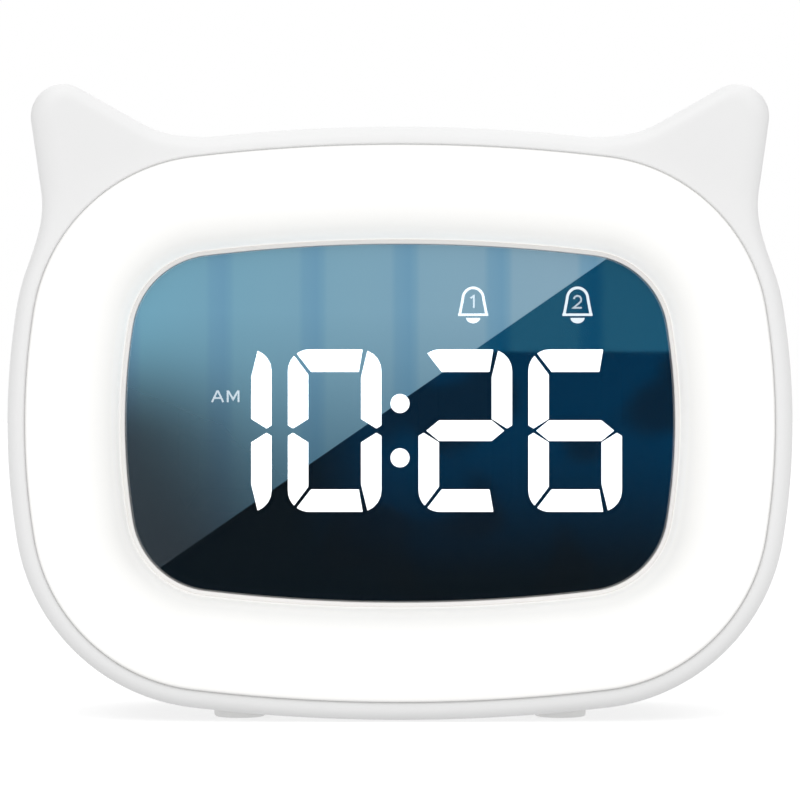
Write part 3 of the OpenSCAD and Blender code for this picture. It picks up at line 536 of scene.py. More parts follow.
def lens_look():
    """Half mirror with a painted reflection of a room: a teal painted sheen with soft upright bands
    reflected from curtains above a sharp diagonal glare edge, deep navy below it.
    """
    slope, rise, softness = 0.692, 3.7, 0.08
    half_w, half_h = 50.0, 32.0
    # the ten pitches keep the bands' count from falling below 0
    band_pitch, band_start = 16.0, 6.4
    band_shift = band_start + 10 * band_pitch
    look = Look("mirror_lens", roughness=0.04, specular_ior_level=0.05, alpha=LENS_ALPHA)
    up = look.math("DIVIDE", plane_ramp(look, 0, 1, half_h), 2 * half_h)
    across = look.math("DIVIDE", plane_ramp(look, 1, 0, half_w), 2 * half_w)
    # above the diagonal: painted reflection of upright curtain bands, each with a painted highlight on one
    # side, which fade downwards and to the left
    beat = look.math("FRACT", look.math("DIVIDE", plane_ramp(look, 1, 0, band_shift), band_pitch))
    bands = look.ramp(beat, (0.0, 0.0), (0.3, 0.1), (0.36, 0.75), (0.5, 1.0), (0.57, 0.6), (0.62, 0.0))
    pale = look.mix(across, "#71A6BC", "#8FABBD")
    striped = look.mix(look.scale(bands, 0, 0.85), pale, "#6C9BB8")
    dusk = look.mix(across, "#2B4250", "#3B6F8B")
    sheen = look.mix(look.ramp(up, (0.1, 1.0), (0.42, 0.62), (0.68, 0.16), (0.8, 0.0)), striped, dusk)
    # painted reflection: darker grey low on the left
    left = look.ramp(plane_ramp(look, 0.012, 0.006, 0.62), (0.0, 0.85), (0.42, 0.0), smooth=True)
    low = look.ramp(up, (0.45, 1.0), (0.78, 0.0), smooth=True)
    sheen = look.mix(look.math("MULTIPLY", left, low), sheen, "#34393E")
    # below the diagonal: painted reflection of a banded wall high up, and navy with faint reflected folds
    # under that
    wall = look.mix(look.scale(bands, 0, 0.8), "#205D7A", "#024E75")
    blue = look.ramp(across, (0.3, 0.0), (0.52, 1.0), smooth=True)
    navy = look.mix(blue, "#0B1820", "#003657")
    deep = look.mix(look.ramp(up, (0.05, 1.0), (0.5, 0.0), smooth=True), navy, "#08141C")
    reflected_folds = look.ramp(look.noise(16, detail=1, rough=0.4), (0.5, 0.0), (0.62, 0.55), smooth=True)
    deep = look.mix(reflected_folds, deep, "#0B1319")
    night = look.mix(look.ramp(up, (0.685, 0.0), (0.70, 1.0), smooth=True), deep, wall)
    # the sharp diagonal where the painted glare ends
    over = look.math("ADD", plane_ramp(look, -slope, 1, -rise), 0.5)
    side = look.ramp(over, (0.5 - softness, 0.0), (0.5 + softness, 1.0))
    # what shows of the paint is its alpha's share, so it is brighter by as much
    values = {0: look.mix(side, night, sheen), "Scale": REFLECTION_BRIGHT / LENS_ALPHA}
    look.on(base_color=look.node("VectorMath", values, operation="SCALE").outputs[0])
    return look


looks = [
    moulded("housing_plastic", "#F3F3F3", "#F0F0F0", 0.42),
    glow_look(),
    moulded("lip_plastic", "#F1EFED", "#EEECEA", 0.36),
    lens_look(),
    Look("lens_back", "#16242E", roughness=0.05, specular_ior_level=0.05, alpha=0.05),
    matt_black("reflector_plastic"),
    lit_look("lit_resin", LIT),
    lit_look("sign_resin", SIGN_LIT, "#404040"),
    lit_look("faint_resin", FAINT_LIT, "#404040"),
    matt_black("unlit_resin"),
    circuit("circuit_board", "#1E5B38", "#3E8A56"),
    circuit("light_circuit_board", "#EDEEEA", "#DADCD6"),
    moulded("led_resin", "#FFE9A8", "#F4CE63", 0.25, emission_color="#FFF6E0", emission_strength=1.0),
    moulded("frame_plastic", "#E4E4E0", "#DCDCD8", 0.5, 0.5, 0.01),
    moulded("chip_plastic", "#16171A", "#1E1F23", 0.55, 0.2, 0.01),
    moulded("switch_plastic", "#1B1C1F", "#242528", 0.45),
    moulded("key_plastic", "#DEDEDE", "#D8D8D8", 0.4),
    metal("port_steel", "#C9CACD", "#A9ABB0", 0.26),
    metal("speaker_steel", "#8C9096", "#6E7278", 0.4),
    moulded("speaker_paper", "#1A1B1D", "#242527", 0.8, 0.5, 0.05),
    rubber("foam", "#1C1D1F", "#26272A"),
    metal("battery_wrap", "#B9C0C6", "#A3ABB2", 0.45, 1.2),
    metal("screw_steel", "#C4C6C9", "#9DA0A5", 0.28),
    rubber("foot_silicone", "#F0F0EF", "#E8E8E7"),
    rubber("red_lead_jacket", "#A81E1E", "#8E1717"),
    rubber("pale_lead_jacket", "#E3E3DD", "#D5D5CE"),
    moulded("icon_ink", "#9B9DA0", "#929497", 0.5),
]
finishes = {look.name: look.material for look in looks}
# the digits' slot, whose finish is that of their lit segments
finishes["segment_resin"] = finishes["lit_resin"]

# ---- carried-over CAD nodes get their finish from their own slot ----

for subpart in frame["record"]["subparts"]:
    node = frame["nodes"][subpart["node"]]
    node.data.materials.clear()
    node.data.materials.append(finishes[subpart["material_slot"]])
    node.data.set_sharp_from_angle(angle=radians(30))


# ---- front housing ----

FOOT_D, FOOT_T = 9.0, 2.4
FOOT_TOP_Y = FOOT_T - LIFT
FOOT_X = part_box("foot_pads")[1].x / MM - FOOT_D / 2
foot_depths = sorted(-v.co.y / MM for v in frame["nodes"]["foot_pads"].data.vertices)
FRONT_FOOT_Z = foot_depths[-1] - FOOT_D / 2
REAR_FOOT_Z = foot_depths[0] + FOOT_D / 2

SNOOZE_W, SNOOZE_DEPTH = 36.0, 9.0
snooze_low, snooze_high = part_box("snooze_button")
SNOOZE_Z = -(snooze_low.y + snooze_high.y) / 2 / MM
# heights between which the cap's opening is cut
SNOOZE_CUT = (44, 56)

# levels at which the ears grow, and how far the flank's softer edge takes to come in
FADE_STEPS = 22
SOFT_OVER = 6


def ear_share(z):
    """Share of an ear's full length at a depth: none at the seam, and all of it near the face."""
    return sin(pi / 2 * min(max((z - EAR_BACK_Z) / (EAR_FULL_Z - EAR_BACK_Z), 0), 1))


def edge_width():
    """Width of the rounded front edge, ray by ray: an ear's outer flank falls away more gently."""
    r = reach(EAR_TURNS, 0, 1)
    x, y = np.abs(r * np.cos(EAR_TURNS)), r * np.sin(EAR_TURNS)
    beyond = np.where(y > 0, np.clip(from_outline(x, np.abs(y)) / SOFT_OVER, 0, 1), 0)
    outwards = (x - CORNER_C[0]) * EAR_DIR[1] - (y - CORNER_C[1]) * EAR_DIR[0]
    return EDGE_R + EAR_SOFT * beyond * np.clip(outwards / SOFT_OVER + 0.5, 0, 1)


def housing_rings():
    """From the seam forwards over the outside, round the rim and back along the inside."""
    width = edge_width()
    fade = [1 - cos(pi / 2 * i / FADE_STEPS) for i in range(FADE_STEPS + 1)]
    levels = [EAR_BACK_Z + t * (EAR_FULL_Z - EAR_BACK_Z) for t in fade]
    edge_z = RIM_Z - EDGE_R
    bevel_at = (RIM_W - RIM_BEVEL, RIM_Z - RIM_BEVEL)
    outer = [(GROOVE, SEAM_Z, 0), (GROOVE_IN, SEAM_Z + GROOVE_UP, 0)]
    outer += [(0, z, ear_share(z)) for z in levels]
    outer += [(0, z, 1) for z in np.linspace(EAR_FULL_Z, edge_z, 6)[1:-1]]
    outer += [(i * width, z, 1) for i, z in arc((1, edge_z), (1, EDGE_R), 180, 90, 10)]
    rim = [(i, z, 0) for i, z in arc(bevel_at, (RIM_BEVEL, RIM_BEVEL), 90, 0, 5)]
    rim.append((RIM_W, RIM_BACK_Z, 0))
    inner = [(WALL, RIM_BACK_Z, 1)]
    inner += [(WALL, z + WALL, ear_share(z)) for z in levels[:0:-2]]
    inner.append((WALL, SEAM_Z, 0))
    return [ring(inset, z, share, EAR_TURNS) for inset, z, share in outer + rim + inner]


def add_feet(shape, profile, depths):
    """Turns a profile at the left and right feet of these depths. Its heights run down from a foot's top."""
    for side in (-1, 1):
        for z in depths:
            shape.turned(profile, lambda p: (side * FOOT_X + p[0], FOOT_TOP_Y - p[2], z + p[1]))
    return shape


def foot_cutter(depth):
    r = FOOT_D / 2 + FIT
    return add_feet(Shape(), [(r, 0), (r, FOOT_T + 2)], [depth])


def snooze_cutter():
    outline = stadium(SNOOZE_W + 2 * RUN, SNOOZE_DEPTH + 2 * RUN)
    return Shape().skin([[(x, y, SNOOZE_Z + z) for x, z in outline] for y in SNOOZE_CUT])


shell = Shape().skin(housing_rings(), closed=True)
housing = shell.object("front_housing_shell", finishes["housing_plastic"])
cut(housing, foot_cutter(FRONT_FOOT_Z))
cut(housing, snooze_cutter())
place(housing, "housing_plastic", nodes=["front_housing"])

# ---- light ring ----

# the glow at the ring's outer edge, and how far inwards it comes up
EDGE_GLOW, EDGE_GLOW_W = 0.3, 0.7
# where the glow starts to fade towards the screen, how much it loses, and how much less so at the top; the
# fade is partly the LEDs' falloff and partly painted shade round the sunk screen, and its tilt is painted
# light at the top and painted shade at the bottom
FADE_SHADE_START, FADE_SHADE_LOSS, TOP_LIGHT_BOTTOM_SHADE, FADE_SHADE_POWER = 0.4, 0.44, 0.14, 1.2
# painted light: a brighter band beside the lip
LIP_PAINTED_LIGHT, LIP_PAINTED_LIGHT_W = 0.3, 1.7


def round_screen(section, name, finish):
    """A piece that runs round the screen, from a section of (inset, depth) points."""
    return Shape().skin([ring(i, z) for i, z in section], closed=True).object(name, finishes[finish])


def glow_with_painted_shade(x, y):
    """How strongly the ring glows at a place on the face: the LEDs' glow, with painted shade towards the
    screen and at the bottom, and painted light beside the lip and at the top.
    """
    width = RING_IN - RING_OUT
    inside = -from_outline(abs(x), abs(y)) - RING_OUT
    edge = np.clip(EDGE_GLOW + inside / EDGE_GLOW_W, 0, 1)
    fall = np.clip((inside / width - FADE_SHADE_START) / (1 - FADE_SHADE_START), 0, 1)
    lip_painted_light = np.clip(1 - (width - inside) / LIP_PAINTED_LIGHT_W, 0, 1)
    fade_and_shade = FADE_SHADE_LOSS - TOP_LIGHT_BOTTOM_SHADE * y / HALF_H
    return edge * (1 - fade_and_shade * fall ** FADE_SHADE_POWER + LIP_PAINTED_LIGHT * lip_painted_light)


def ring_section(outer, inner, drop, steps=16):
    """A steep shoulder up to the crown, then a long fall to the lens."""
    shoulder = arc((CROWN_INSET, RIM_Z - drop), (outer - CROWN_INSET, RING_PROUD), 0, 90, steps)
    fall = arc((CROWN_INSET, LIP_Z - drop), (inner - CROWN_INSET, FRONT_Z - LIP_Z), 90, 0, steps)
    return shoulder + fall[1:]


def light_ring():
    flange_back = FLANGE_Z - FLANGE_T
    section = [(WALL + FIT, flange_back), (WALL + FIT, FLANGE_Z), (RING_OUT, FLANGE_Z)]
    section += ring_section(RING_OUT, RING_IN, 0)
    section += [(RING_IN, STEP_Z + STACK), (RING_IN - RING_WALL, STEP_Z + STACK)]
    section += ring_section(RING_OUT + RING_WALL, RING_IN - RING_WALL, RING_WALL)[::-1]
    section.append((RING_OUT + RING_WALL, flange_back))
    made = round_screen(section, "light_ring", "glow_plastic")
    # the glow attribute holds painted shade and painted light as well as the LEDs' glow
    glow = made.data.attributes.new("glow", "FLOAT", "POINT")
    for vertex in made.data.vertices:
        glow.data[vertex.index].value = glow_with_painted_shade(vertex.co.x / MM, vertex.co.z / MM - LIFT)
    return made


place(light_ring(), "glow_plastic", nodes=["light_diffuser"])

# ---- screen ----


def lip():
    """The screen's lip with small rounded edges, and the ledge behind it that carries the lens."""
    edge = 0.2
    middle = edge * 0.3
    section = [
        (LIP_OUT, STEP_Z),
        (LIP_OUT, LIP_Z - edge),
        (LIP_OUT + middle, LIP_Z - middle),
        (LIP_OUT + edge, LIP_Z),
        (SCREEN_EDGE - edge, LIP_Z),
        (SCREEN_EDGE - middle, LIP_Z - middle),
        (SCREEN_EDGE, LIP_Z - edge),
        (SCREEN_EDGE, SEAT_Z),
        (SCREEN_EDGE + SEAT_W, SEAT_Z),
        (SCREEN_EDGE + SEAT_W, SEAT_Z - SEAT_T),
        (LIP_OUT - FRAME_WALL, SEAT_Z - SEAT_T),
        (LIP_OUT - FRAME_WALL, STEP_Z),
    ]
    return round_screen(section, "screen_lip", "lip_plastic")


def lens():
    """The half mirror's paint, a painted reflection, lies on its face; the back and the edge are clear."""
    edge, inset = 0.15, SCREEN_EDGE + FINE
    section = [(inset, LENS_BACK_Z), (inset, SCREEN_Z - edge), (inset + edge, SCREEN_Z)]
    made = Shape().skin([ring(i, z) for i, z in section]).object("mirror_pane", finishes["mirror_lens"])
    made.data.materials.append(finishes["lens_back"])
    for face in made.data.polygons:
        face.material_index = int(-face.center.y / MM < SCREEN_Z - edge)
    return made


def seat_tape():
    """Black tape on the ledge, which glues the lens down and shows as the screen's dark margin."""
    low, high = SEAT_Z + STACK / 4, SEAT_Z + STACK / 4 + STACK / 2
    outer, inner = SCREEN_EDGE + FIT, SCREEN_EDGE + SEAT_W + 0.4
    section = [(outer, low), (outer, high), (inner, high), (inner, low)]
    return round_screen(section, "seat_tape", "reflector_plastic")


place(lip(), "lip_plastic", nodes=["screen_frame"])
place(lens(), "mirror_lens", nodes=["mirror_lens"])
place(seat_tape(), "reflector_plastic")

# ---- digits ----

DIGIT_W, DIGIT_H = 16.2, 28.1
DIGIT_PITCH, COLON_SPACE, DIGIT_DROP = 19.0, 3.6, 1.3
SIDE_STROKE, BAR_STROKE, MID_STROKE = 3.55, 3.9, 3.6
DIGIT_CORNER_R, SEGMENT_GAP, SEGMENT_DEPTH = 3.7, 0.45, 6.0
SEGMENT_EDGE = 0.1
COLON_R, COLON_RISE = 1.65, 4.7
SEG_W, SEG_H = DIGIT_W / 2, DIGIT_H / 2
TIP_IN, TIP_UP = 2 * SEGMENT_GAP, SEGMENT_GAP * 0.8
SEGMENT_Z = (REFLECTOR_Z - SEGMENT_DEPTH, REFLECTOR_Z)


def digit_corner(side, start, end):
    centre = (side * (SEG_W - DIGIT_CORNER_R), SEG_H - DIGIT_CORNER_R)
    return arc(centre, (side * DIGIT_CORNER_R, DIGIT_CORNER_R), start, end, 8)


RIGHT_UPRIGHT = [
    (SEG_W, TIP_IN),
    *digit_corner(1, 0, 70),
    (SEG_W - SIDE_STROKE, SEG_H - BAR_STROKE - TIP_IN),
    (SEG_W - SIDE_STROKE, MID_STROKE / 2 + SEGMENT_GAP / 2),
    (SEG_W - TIP_IN, TIP_UP),
]
LEFT_UPRIGHT = [
    (-SEG_W, TIP_IN),
    *digit_corner(-1, 0, 45),
    (SIDE_STROKE - SEG_W, SEG_H - BAR_STROKE - SEGMENT_GAP),
    (SIDE_STROKE - SEG_W, MID_STROKE / 2 + SEGMENT_GAP / 2),
    (TIP_IN - SEG_W, TIP_UP),
]
TOP_BAR = [
    *digit_corner(-1, 54, 90),
    (SEG_W - DIGIT_CORNER_R + SEGMENT_GAP, SEG_H),
    (SEG_W - SIDE_STROKE - TIP_UP, SEG_H - BAR_STROKE),
    (SIDE_STROKE - SEG_W + SEGMENT_GAP, SEG_H - BAR_STROKE),
]
MIDDLE_BAR = [
    (side * x, side * y)
    for side in (1, -1)
    for x, y in (
        (-(SEG_W - TIP_IN - SEGMENT_GAP), 0),
        (-(SEG_W - SIDE_STROKE), MID_STROKE / 2),
        (SEG_W - SIDE_STROKE, MID_STROKE / 2),
    )
]


def below(outline):
    return [(x, -y) for x, y in outline]


SEGMENTS = {
    "top": TOP_BAR,
    "upper_left": LEFT_UPRIGHT,
    "upper_right": RIGHT_UPRIGHT,
    "middle": MIDDLE_BAR,
    "lower_left": below(LEFT_UPRIGHT),
    "lower_right": below(RIGHT_UPRIGHT),
    "bottom": below(TOP_BAR),
}
LIT_SEGMENTS = {
    "0": {"top", "upper_left", "upper_right", "lower_left", "lower_right", "bottom"},
    "1": {"upper_right", "lower_right"},
    "2": {"top", "upper_right", "middle", "lower_left", "bottom"},
    "6": {"top", "upper_left", "middle", "lower_left", "lower_right", "bottom"},
}


def digit(node_name, number, middle_x):
    """A digit's lit and unlit segments, as two pieces that stand for its node."""
    for state, finish in (("lit", "segment_resin"), ("unlit", "unlit_resin")):
        shape = Shape()
        for name, outline in SEGMENTS.items():
            if (name in LIT_SEGMENTS[number]) == (state == "lit"):
                shape.prism(moved(outline, middle_x, -DIGIT_DROP), *SEGMENT_Z)
        made = rounded(shape.object(f"{node_name}_{state}", finishes[finish]), SEGMENT_EDGE)
        place(made, "segment_resin", nodes=[node_name])


def colon():
    low, high = SEGMENT_Z
    dot = [(COLON_R, low), (COLON_R, high - SEGMENT_EDGE), (COLON_R - SEGMENT_EDGE, high)]
    shape = Shape()
    for rise in (-COLON_RISE, COLON_RISE):
        shape.turned(dot, lambda p: (p[0], p[1] + rise - DIGIT_DROP, p[2]))
    return shape.object("colon_lights", finishes["segment_resin"])


digit_x = COLON_SPACE / 2 + DIGIT_PITCH / 2
digit("hour_tens_digit", "1", -digit_x - DIGIT_PITCH)
digit("hour_units_digit", "0", -digit_x)
digit("minute_tens_digit", "2", digit_x)
digit("minute_units_digit", "6", digit_x + DIGIT_PITCH)
place(colon(), "segment_resin", nodes=["colon_dots"])

# ---- signs beside the digits ----

SIGN_Z = (REFLECTOR_Z + FINE / 2, LENS_BACK_Z - FINE)
MITRE_LIMIT = 0.3
BELL_X = (12.65, 30.7)
LETTER_X = (-31.54, -28.86)


def line_edges(path, width, closed):
    """Left and right edge of a flat line of this width through the points, with mitred corners."""
    points = [np.array(p, float) for p in path]
    count = len(points)
    steps = [points[(i + 1) % count] - points[i] for i in range(count if closed else count - 1)]
    ways = [step / np.linalg.norm(step) for step in steps]
    left, right = [], []
    for i, here in enumerate(points):
        meeting = [ways[j] for j in (i - 1, i) if closed or 0 <= j < len(ways)]
        way = sum(meeting) / np.linalg.norm(sum(meeting))
        out = np.array([-way[1], way[0]]) * width / 2 / max(way @ meeting[0], MITRE_LIMIT)
        left.append(here + out)
        right.append(here - out)
    return left, right


def draw(shape, path, width, closed=False, z=SIGN_Z):
    """Adds a line as one flat bar, so that its joints leave no gap."""
    low, high = z
    rings = [
        [(*a, low), (*b, low), (*b, high), (*a, high)]
        for a, b in zip(*line_edges(path, width, closed))
    ]
    return shape.skin(rings, closed)


def both_sides(half, middle=()):
    """A line from its left half, any points between the halves, and the half turned over."""
    return [*half, *middle, *[(-x, y) for x, y in reversed(half)]]


def bell(middle_x):
    """An alarm bell with its clapper."""
    stroke, base_stroke = 0.46, 0.42
    base_y, base_w, foot_w = 18.75, 2.6, 2.32
    dome_y, dome_w, dome_h = 21.45, 1.8, 1.95
    clapper_y, clapper_w, clapper_h = 18.2, 1.22, 0.94
    shape = Shape()
    dome = arc((middle_x, dome_y), (dome_w, dome_h), 0, 180, 18)
    draw(shape, [(middle_x + foot_w, base_y), *dome, (middle_x - foot_w, base_y)], stroke)
    draw(shape, [(middle_x - base_w, base_y), (middle_x + base_w, base_y)], base_stroke)
    return shape.prism(arc((middle_x, clapper_y), (clapper_w, clapper_h), 180, 360, 14), *SIGN_Z)


def bell_number(middle_x, number):
    """The alarm's number, inside its bell."""
    low, stroke = 19.9, 0.3
    if number == 1:
        path = [(-0.46, 21.6), (0.12, 22.0), (0.12, low)]
    else:
        path = [*arc((0, 21.36), (0.64, 0.66), 170, -35, 10), (-0.67, low + 0.05), (0.74, low + 0.05)]
    return draw(Shape(), moved(path, middle_x), stroke)


def am_sign():
    low, high, stroke, bar_stroke = 3.62, 5.49, 0.32, 0.28
    bar_y, dip_y = low + 0.72, low + 0.5
    letter_a = both_sides([(-0.98, low), (-0.09, high)])
    letter_m = both_sides([(-0.94, low), (-0.94, high), (-0.8, high)], [(0, dip_y)])
    shape = Shape()
    draw(shape, moved(letter_a, LETTER_X[0]), stroke)
    draw(shape, moved([(-0.56, bar_y), (0.56, bar_y)], LETTER_X[0]), bar_stroke)
    return draw(shape, moved(letter_m, LETTER_X[1]), stroke)


for name, shape, finish in (
    ("am_sign", am_sign(), "faint_resin"),
    ("first_alarm_sign", bell(BELL_X[0]), "sign_resin"),
    ("first_alarm_number", bell_number(BELL_X[0], 1), "faint_resin"),
    ("second_alarm_sign", bell(BELL_X[1]), "sign_resin"),
    ("second_alarm_number", bell_number(BELL_X[1], 2), "faint_resin"),
):
    place(shape.object(name, finishes[finish]), "segment_resin")

# ---- back cover ----

BACK_ROUND_Z = BACK_Z + BACK_ROUND
KEYS = ["light", "down", "up", "alarm", "set"]
KEY_D, KEY_PROUD, KEY_PITCH, KEY_Y = 8.4, 0.8, 14.0, 24.0
key_x = {name: (i - (len(KEYS) - 1) / 2) * KEY_PITCH for i, name in enumerate(KEYS)}
SCREW_IN, SCREW_TURN = 16.0, radians(37)
SCREW_AT = CORNER_C + (CORNER_R - SCREW_IN) * np.array([cos(SCREW_TURN), sin(SCREW_TURN)])
TOWER_R, WELL_R, WELL_D, SHANK_R = 4.5, 3.1, 10.0, 1.6
PORT_W, PORT_H, PORT_Y = 8.94, 3.26, 11.5
MAIN_RISE, PILLAR_AT, PILLAR_H, PILLAR_R, PILLAR_BORE_R = 21.0, (35.0, 9.5), 8.2, 2.8, 1.1
BOARD_Z = BACK_IN_Z + PILLAR_H
SPEAKER_AT, SPEAKER_D, COLLAR_T, COLLAR_H = (-22.0, -16.0), 30.0, 1.2, 4.0
GRILLE_RINGS, GRILLE_PITCH, GRILLE_HOLE_R = 4, 3.6, 1.0
BATTERY_AT, BATTERY_W, BATTERY_H = (19.5, -16.0), 40.0, 30.0
RIB_T, RIB_H, RIB_SHORT = 1.2, 5.0, 8.0
# how far a post reaches into the panel, and a cutter past a face
SINK, PAST = 0.5, 1.0


def cover_curve(t, steps=18):
    """Quarter of a circle from the side wall to the flat panel, moved in by t."""
    return [
        (BACK_ROUND - (BACK_ROUND - t) * cos(a), BACK_ROUND_Z - (BACK_ROUND - t) * sin(a))
        for a in np.linspace(0, pi / 2, steps + 1)
    ]


def cover_shell():
    """The cover's wall and panel, with a tongue round the seam that stands on a slope inside."""
    tongue_out, tongue_in = WALL + FIT, WALL + FIT + TONGUE_T
    slope_top, slope_low = SEAM_Z - 1.2, SEAM_Z - 2.6
    section = [
        (BACK_ROUND + 1, BACK_Z),
        *cover_curve(0)[::-1],
        (0, SEAM_Z - GROOVE),
        (GROOVE_IN, SEAM_Z - GROOVE_UP),
        (GROOVE, SEAM_Z),
        (tongue_out, SEAM_Z),
        (tongue_out, SEAM_Z + TONGUE_D),
        (tongue_in, SEAM_Z + TONGUE_D),
        (tongue_in, slope_top),
        (WALL, slope_low),
        *cover_curve(WALL),
        (BACK_ROUND + 1, BACK_IN_Z),
    ]
    return Shape().skin([ring(i, z) for i, z in section])


def rod(shape, x, y, r, z0, z1, flare=0.0):
    """A round rod along z. With flare, it widens by that much towards the cover's back face."""
    profile = [(r + flare, z0)]
    if flare:
        profile += [(r + flare, BACK_Z), (r, BACK_Z + flare)]
    profile.append((r, z1))
    return shape.turned(profile, lambda p: (x + p[0], y + p[1], p[2]), 40)


def four(x, y):
    return [(sx * x, sy * y) for sx in (-1, 1) for sy in (-1, 1)]


def cover_posts():
    """Screw towers, board pillars, the speaker's collar and the battery's ribs."""
    posts = Shape()
    for x, y in four(*SCREW_AT):
        rod(posts, x, y, TOWER_R, BACK_IN_Z - SINK, SEAM_Z)
    for x, y in four(*PILLAR_AT):
        rod(posts, x, y + MAIN_RISE, PILLAR_R, BACK_IN_Z - SINK, BOARD_Z)
    inner, outer = SPEAKER_D / 2 + RUN, SPEAKER_D / 2 + RUN + COLLAR_T
    collar = [(inner, -SINK), (outer, -SINK), (outer, COLLAR_H), (inner, COLLAR_H)]
    x, y = SPEAKER_AT
    posts.turned(collar, lambda p: (x + p[0], y + p[1], BACK_IN_Z + p[2]), 96, closed=True)
    beside, above = (size / 2 + RUN + RIB_T / 2 for size in (BATTERY_W, BATTERY_H))
    for side in (-1, 1):
        for dx, dy, w, h in (
            (side * beside, 0, RIB_T, BATTERY_H - RIB_SHORT),
            (0, side * above, BATTERY_W - RIB_SHORT, RIB_T),
        ):
            bar = [(sx * w / 2 + dx, sy * h / 2 + dy) for sx, sy in ((-1, -1), (1, -1), (1, 1), (-1, 1))]
            posts.prism(moved(bar, *BATTERY_AT), BACK_IN_Z - SINK, BACK_IN_Z + RIB_H)
    return posts


def cover_holes():
    """Screw wells and shanks, pillar bores, key holes, the speaker's grille and the charging port's slot."""
    holes = Shape()
    for x, y in four(*SCREW_AT):
        rod(holes, x, y, WELL_R, BACK_Z - PAST, BACK_Z + WELL_D, 0.3)
        rod(holes, x, y, SHANK_R, BACK_Z + WELL_D - PAST, SEAM_Z + PAST)
    for x, y in four(*PILLAR_AT):
        rod(holes, x, y + MAIN_RISE, PILLAR_BORE_R, BACK_IN_Z + PAST, BOARD_Z + PAST)
    for x in key_x.values():
        rod(holes, x, KEY_Y, KEY_D / 2 + RUN, BACK_Z - PAST, BACK_IN_Z + PAST, 0.2)
    for n in range(GRILLE_RINGS):
        count, r = 6 * n or 1, GRILLE_PITCH * n
        for i in range(count):
            turn = 2 * pi * i / count + radians(15 * n)
            x, y = SPEAKER_AT[0] + r * cos(turn), SPEAKER_AT[1] + r * sin(turn)
            rod(holes, x, y, GRILLE_HOLE_R, BACK_Z - PAST, BACK_IN_Z + PAST, 0.15)
    flare = 0.3
    slot = []
    for wider, z in ((flare, BACK_Z - PAST), (flare, BACK_Z), (0, BACK_Z + flare), (0, BACK_IN_Z + PAST)):
        outline = stadium(PORT_W + 2 * (RUN + wider), PORT_H + 2 * (RUN + wider))
        slot.append([(x, y + PORT_Y, z) for x, y in outline])
    return holes.skin(slot)


cover = cover_shell().object("back_cover_shell", finishes["housing_plastic"])
cut(cover, cover_posts(), "UNION")
cut(cover, foot_cutter(REAR_FOOT_Z))
cut(cover, cover_holes())
place(cover, "housing_plastic", nodes=["back_cover"])

# ---- printed signs on the back ----

INK_T = 0.05
INK_Z = (BACK_Z - INK_T, BACK_Z + INK_T)
INK_W = 0.34
# how far below its key a sign stands, and how far beside the port
ICON_DROP, ICON_BESIDE = 6.9, 3.2


def dial_icon(shape, x, y):
    """A clock's dial, with its hands as seen from behind the clock."""
    draw(shape, arc((x, y), (1.3, 1.3), 0, 345, 23), INK_W, closed=True, z=INK_Z)
    draw(shape, [(x, y + 0.85), (x, y), (x - 0.6, y - 0.35)], INK_W * 0.8, z=INK_Z)


def bell_icon(shape, x, y):
    base_y, clapper_r = y - 0.85, 0.3
    dome = arc((x, y + 0.15), (0.85, 0.95), 0, 180, 12)
    draw(shape, [(x + 1.05, base_y), *dome, (x - 1.05, base_y)], INK_W, z=INK_Z)
    draw(shape, [(x - 1.25, base_y), (x + 1.25, base_y)], INK_W, z=INK_Z)
    shape.prism(arc((x, y - 1.25), (clapper_r, clapper_r), 0, 345, 23), *INK_Z)


def plus_icon(shape, x, y):
    draw(shape, [(x, y - 1.15), (x, y + 1.15)], INK_W * 1.2, z=INK_Z)
    minus_icon(shape, x, y)


def minus_icon(shape, x, y):
    draw(shape, [(x - 1.15, y), (x + 1.15, y)], INK_W * 1.2, z=INK_Z)


def sun_icon(shape, x, y):
    draw(shape, arc((x, y), (0.62, 0.62), 0, 342, 19), INK_W, closed=True, z=INK_Z)
    for turn in np.arange(8) * pi / 4:
        draw(shape, [(x + r * cos(turn), y + r * sin(turn)) for r in (1.05, 1.5)], INK_W * 0.9, z=INK_Z)


def charge_icon(shape, x, y):
    """A lightning bolt."""
    bolt = [(0.45, 1.4), (-0.75, -0.15), (-0.05, -0.15), (-0.4, -1.4), (0.8, 0.3), (0.1, 0.3)]
    shape.prism([(x - px, y + py) for px, py in bolt], *INK_Z)


ICONS = {"light": sun_icon, "down": minus_icon, "up": plus_icon, "alarm": bell_icon, "set": dial_icon}
icons = Shape()
for name, icon in ICONS.items():
    icon(icons, key_x[name], KEY_Y - ICON_DROP)
charge_icon(icons, PORT_W / 2 + ICON_BESIDE, PORT_Y)
place(icons.object("back_signs", finishes["icon_ink"]), "housing_plastic")

# ---- keys ----

SWITCH_H = 4.6
SWITCH_TOP_Z = BOARD_Z - SWITCH_H
STEM_R = 1.7
# how far a flange stands out beyond its key or cap
FLANGE_OUT = 1.1


def key(name):
    """A round key with a dished top, on its flange and stem."""
    r, edge, flange_t = KEY_D / 2, 0.5, 1.0
    dish, dish_r = 0.28, KEY_D / 2 * 0.8
    top, flange = BACK_Z - KEY_PROUD, BACK_IN_Z + RUN
    profile = [
        *[(dish_r * s, top + dish * (1 - s * s)) for s in (0.02, 0.25, 0.5, 0.75, 1.0)],
        *arc((r - edge, top + edge), (edge, edge), -90, 0, 6),
        (r, flange),
        (r + FLANGE_OUT, flange),
        (r + FLANGE_OUT, flange + flange_t),
        (STEM_R, flange + flange_t),
        (STEM_R, SWITCH_TOP_Z),
    ]
    shape = Shape().turned(profile, lambda p: (key_x[name] + p[0], KEY_Y + p[1], p[2]))
    made = shape.object(f"{name}_button", finishes["key_plastic"])
    place(made, "key_plastic", f"{name}_body", [f"{name}_key"], sharp=50)


for name in KEYS:
    key(name)

# ---- snooze button ----


def snooze_level(outline, y):
    return [(x, y, SNOOZE_Z + z) for x, z in outline]


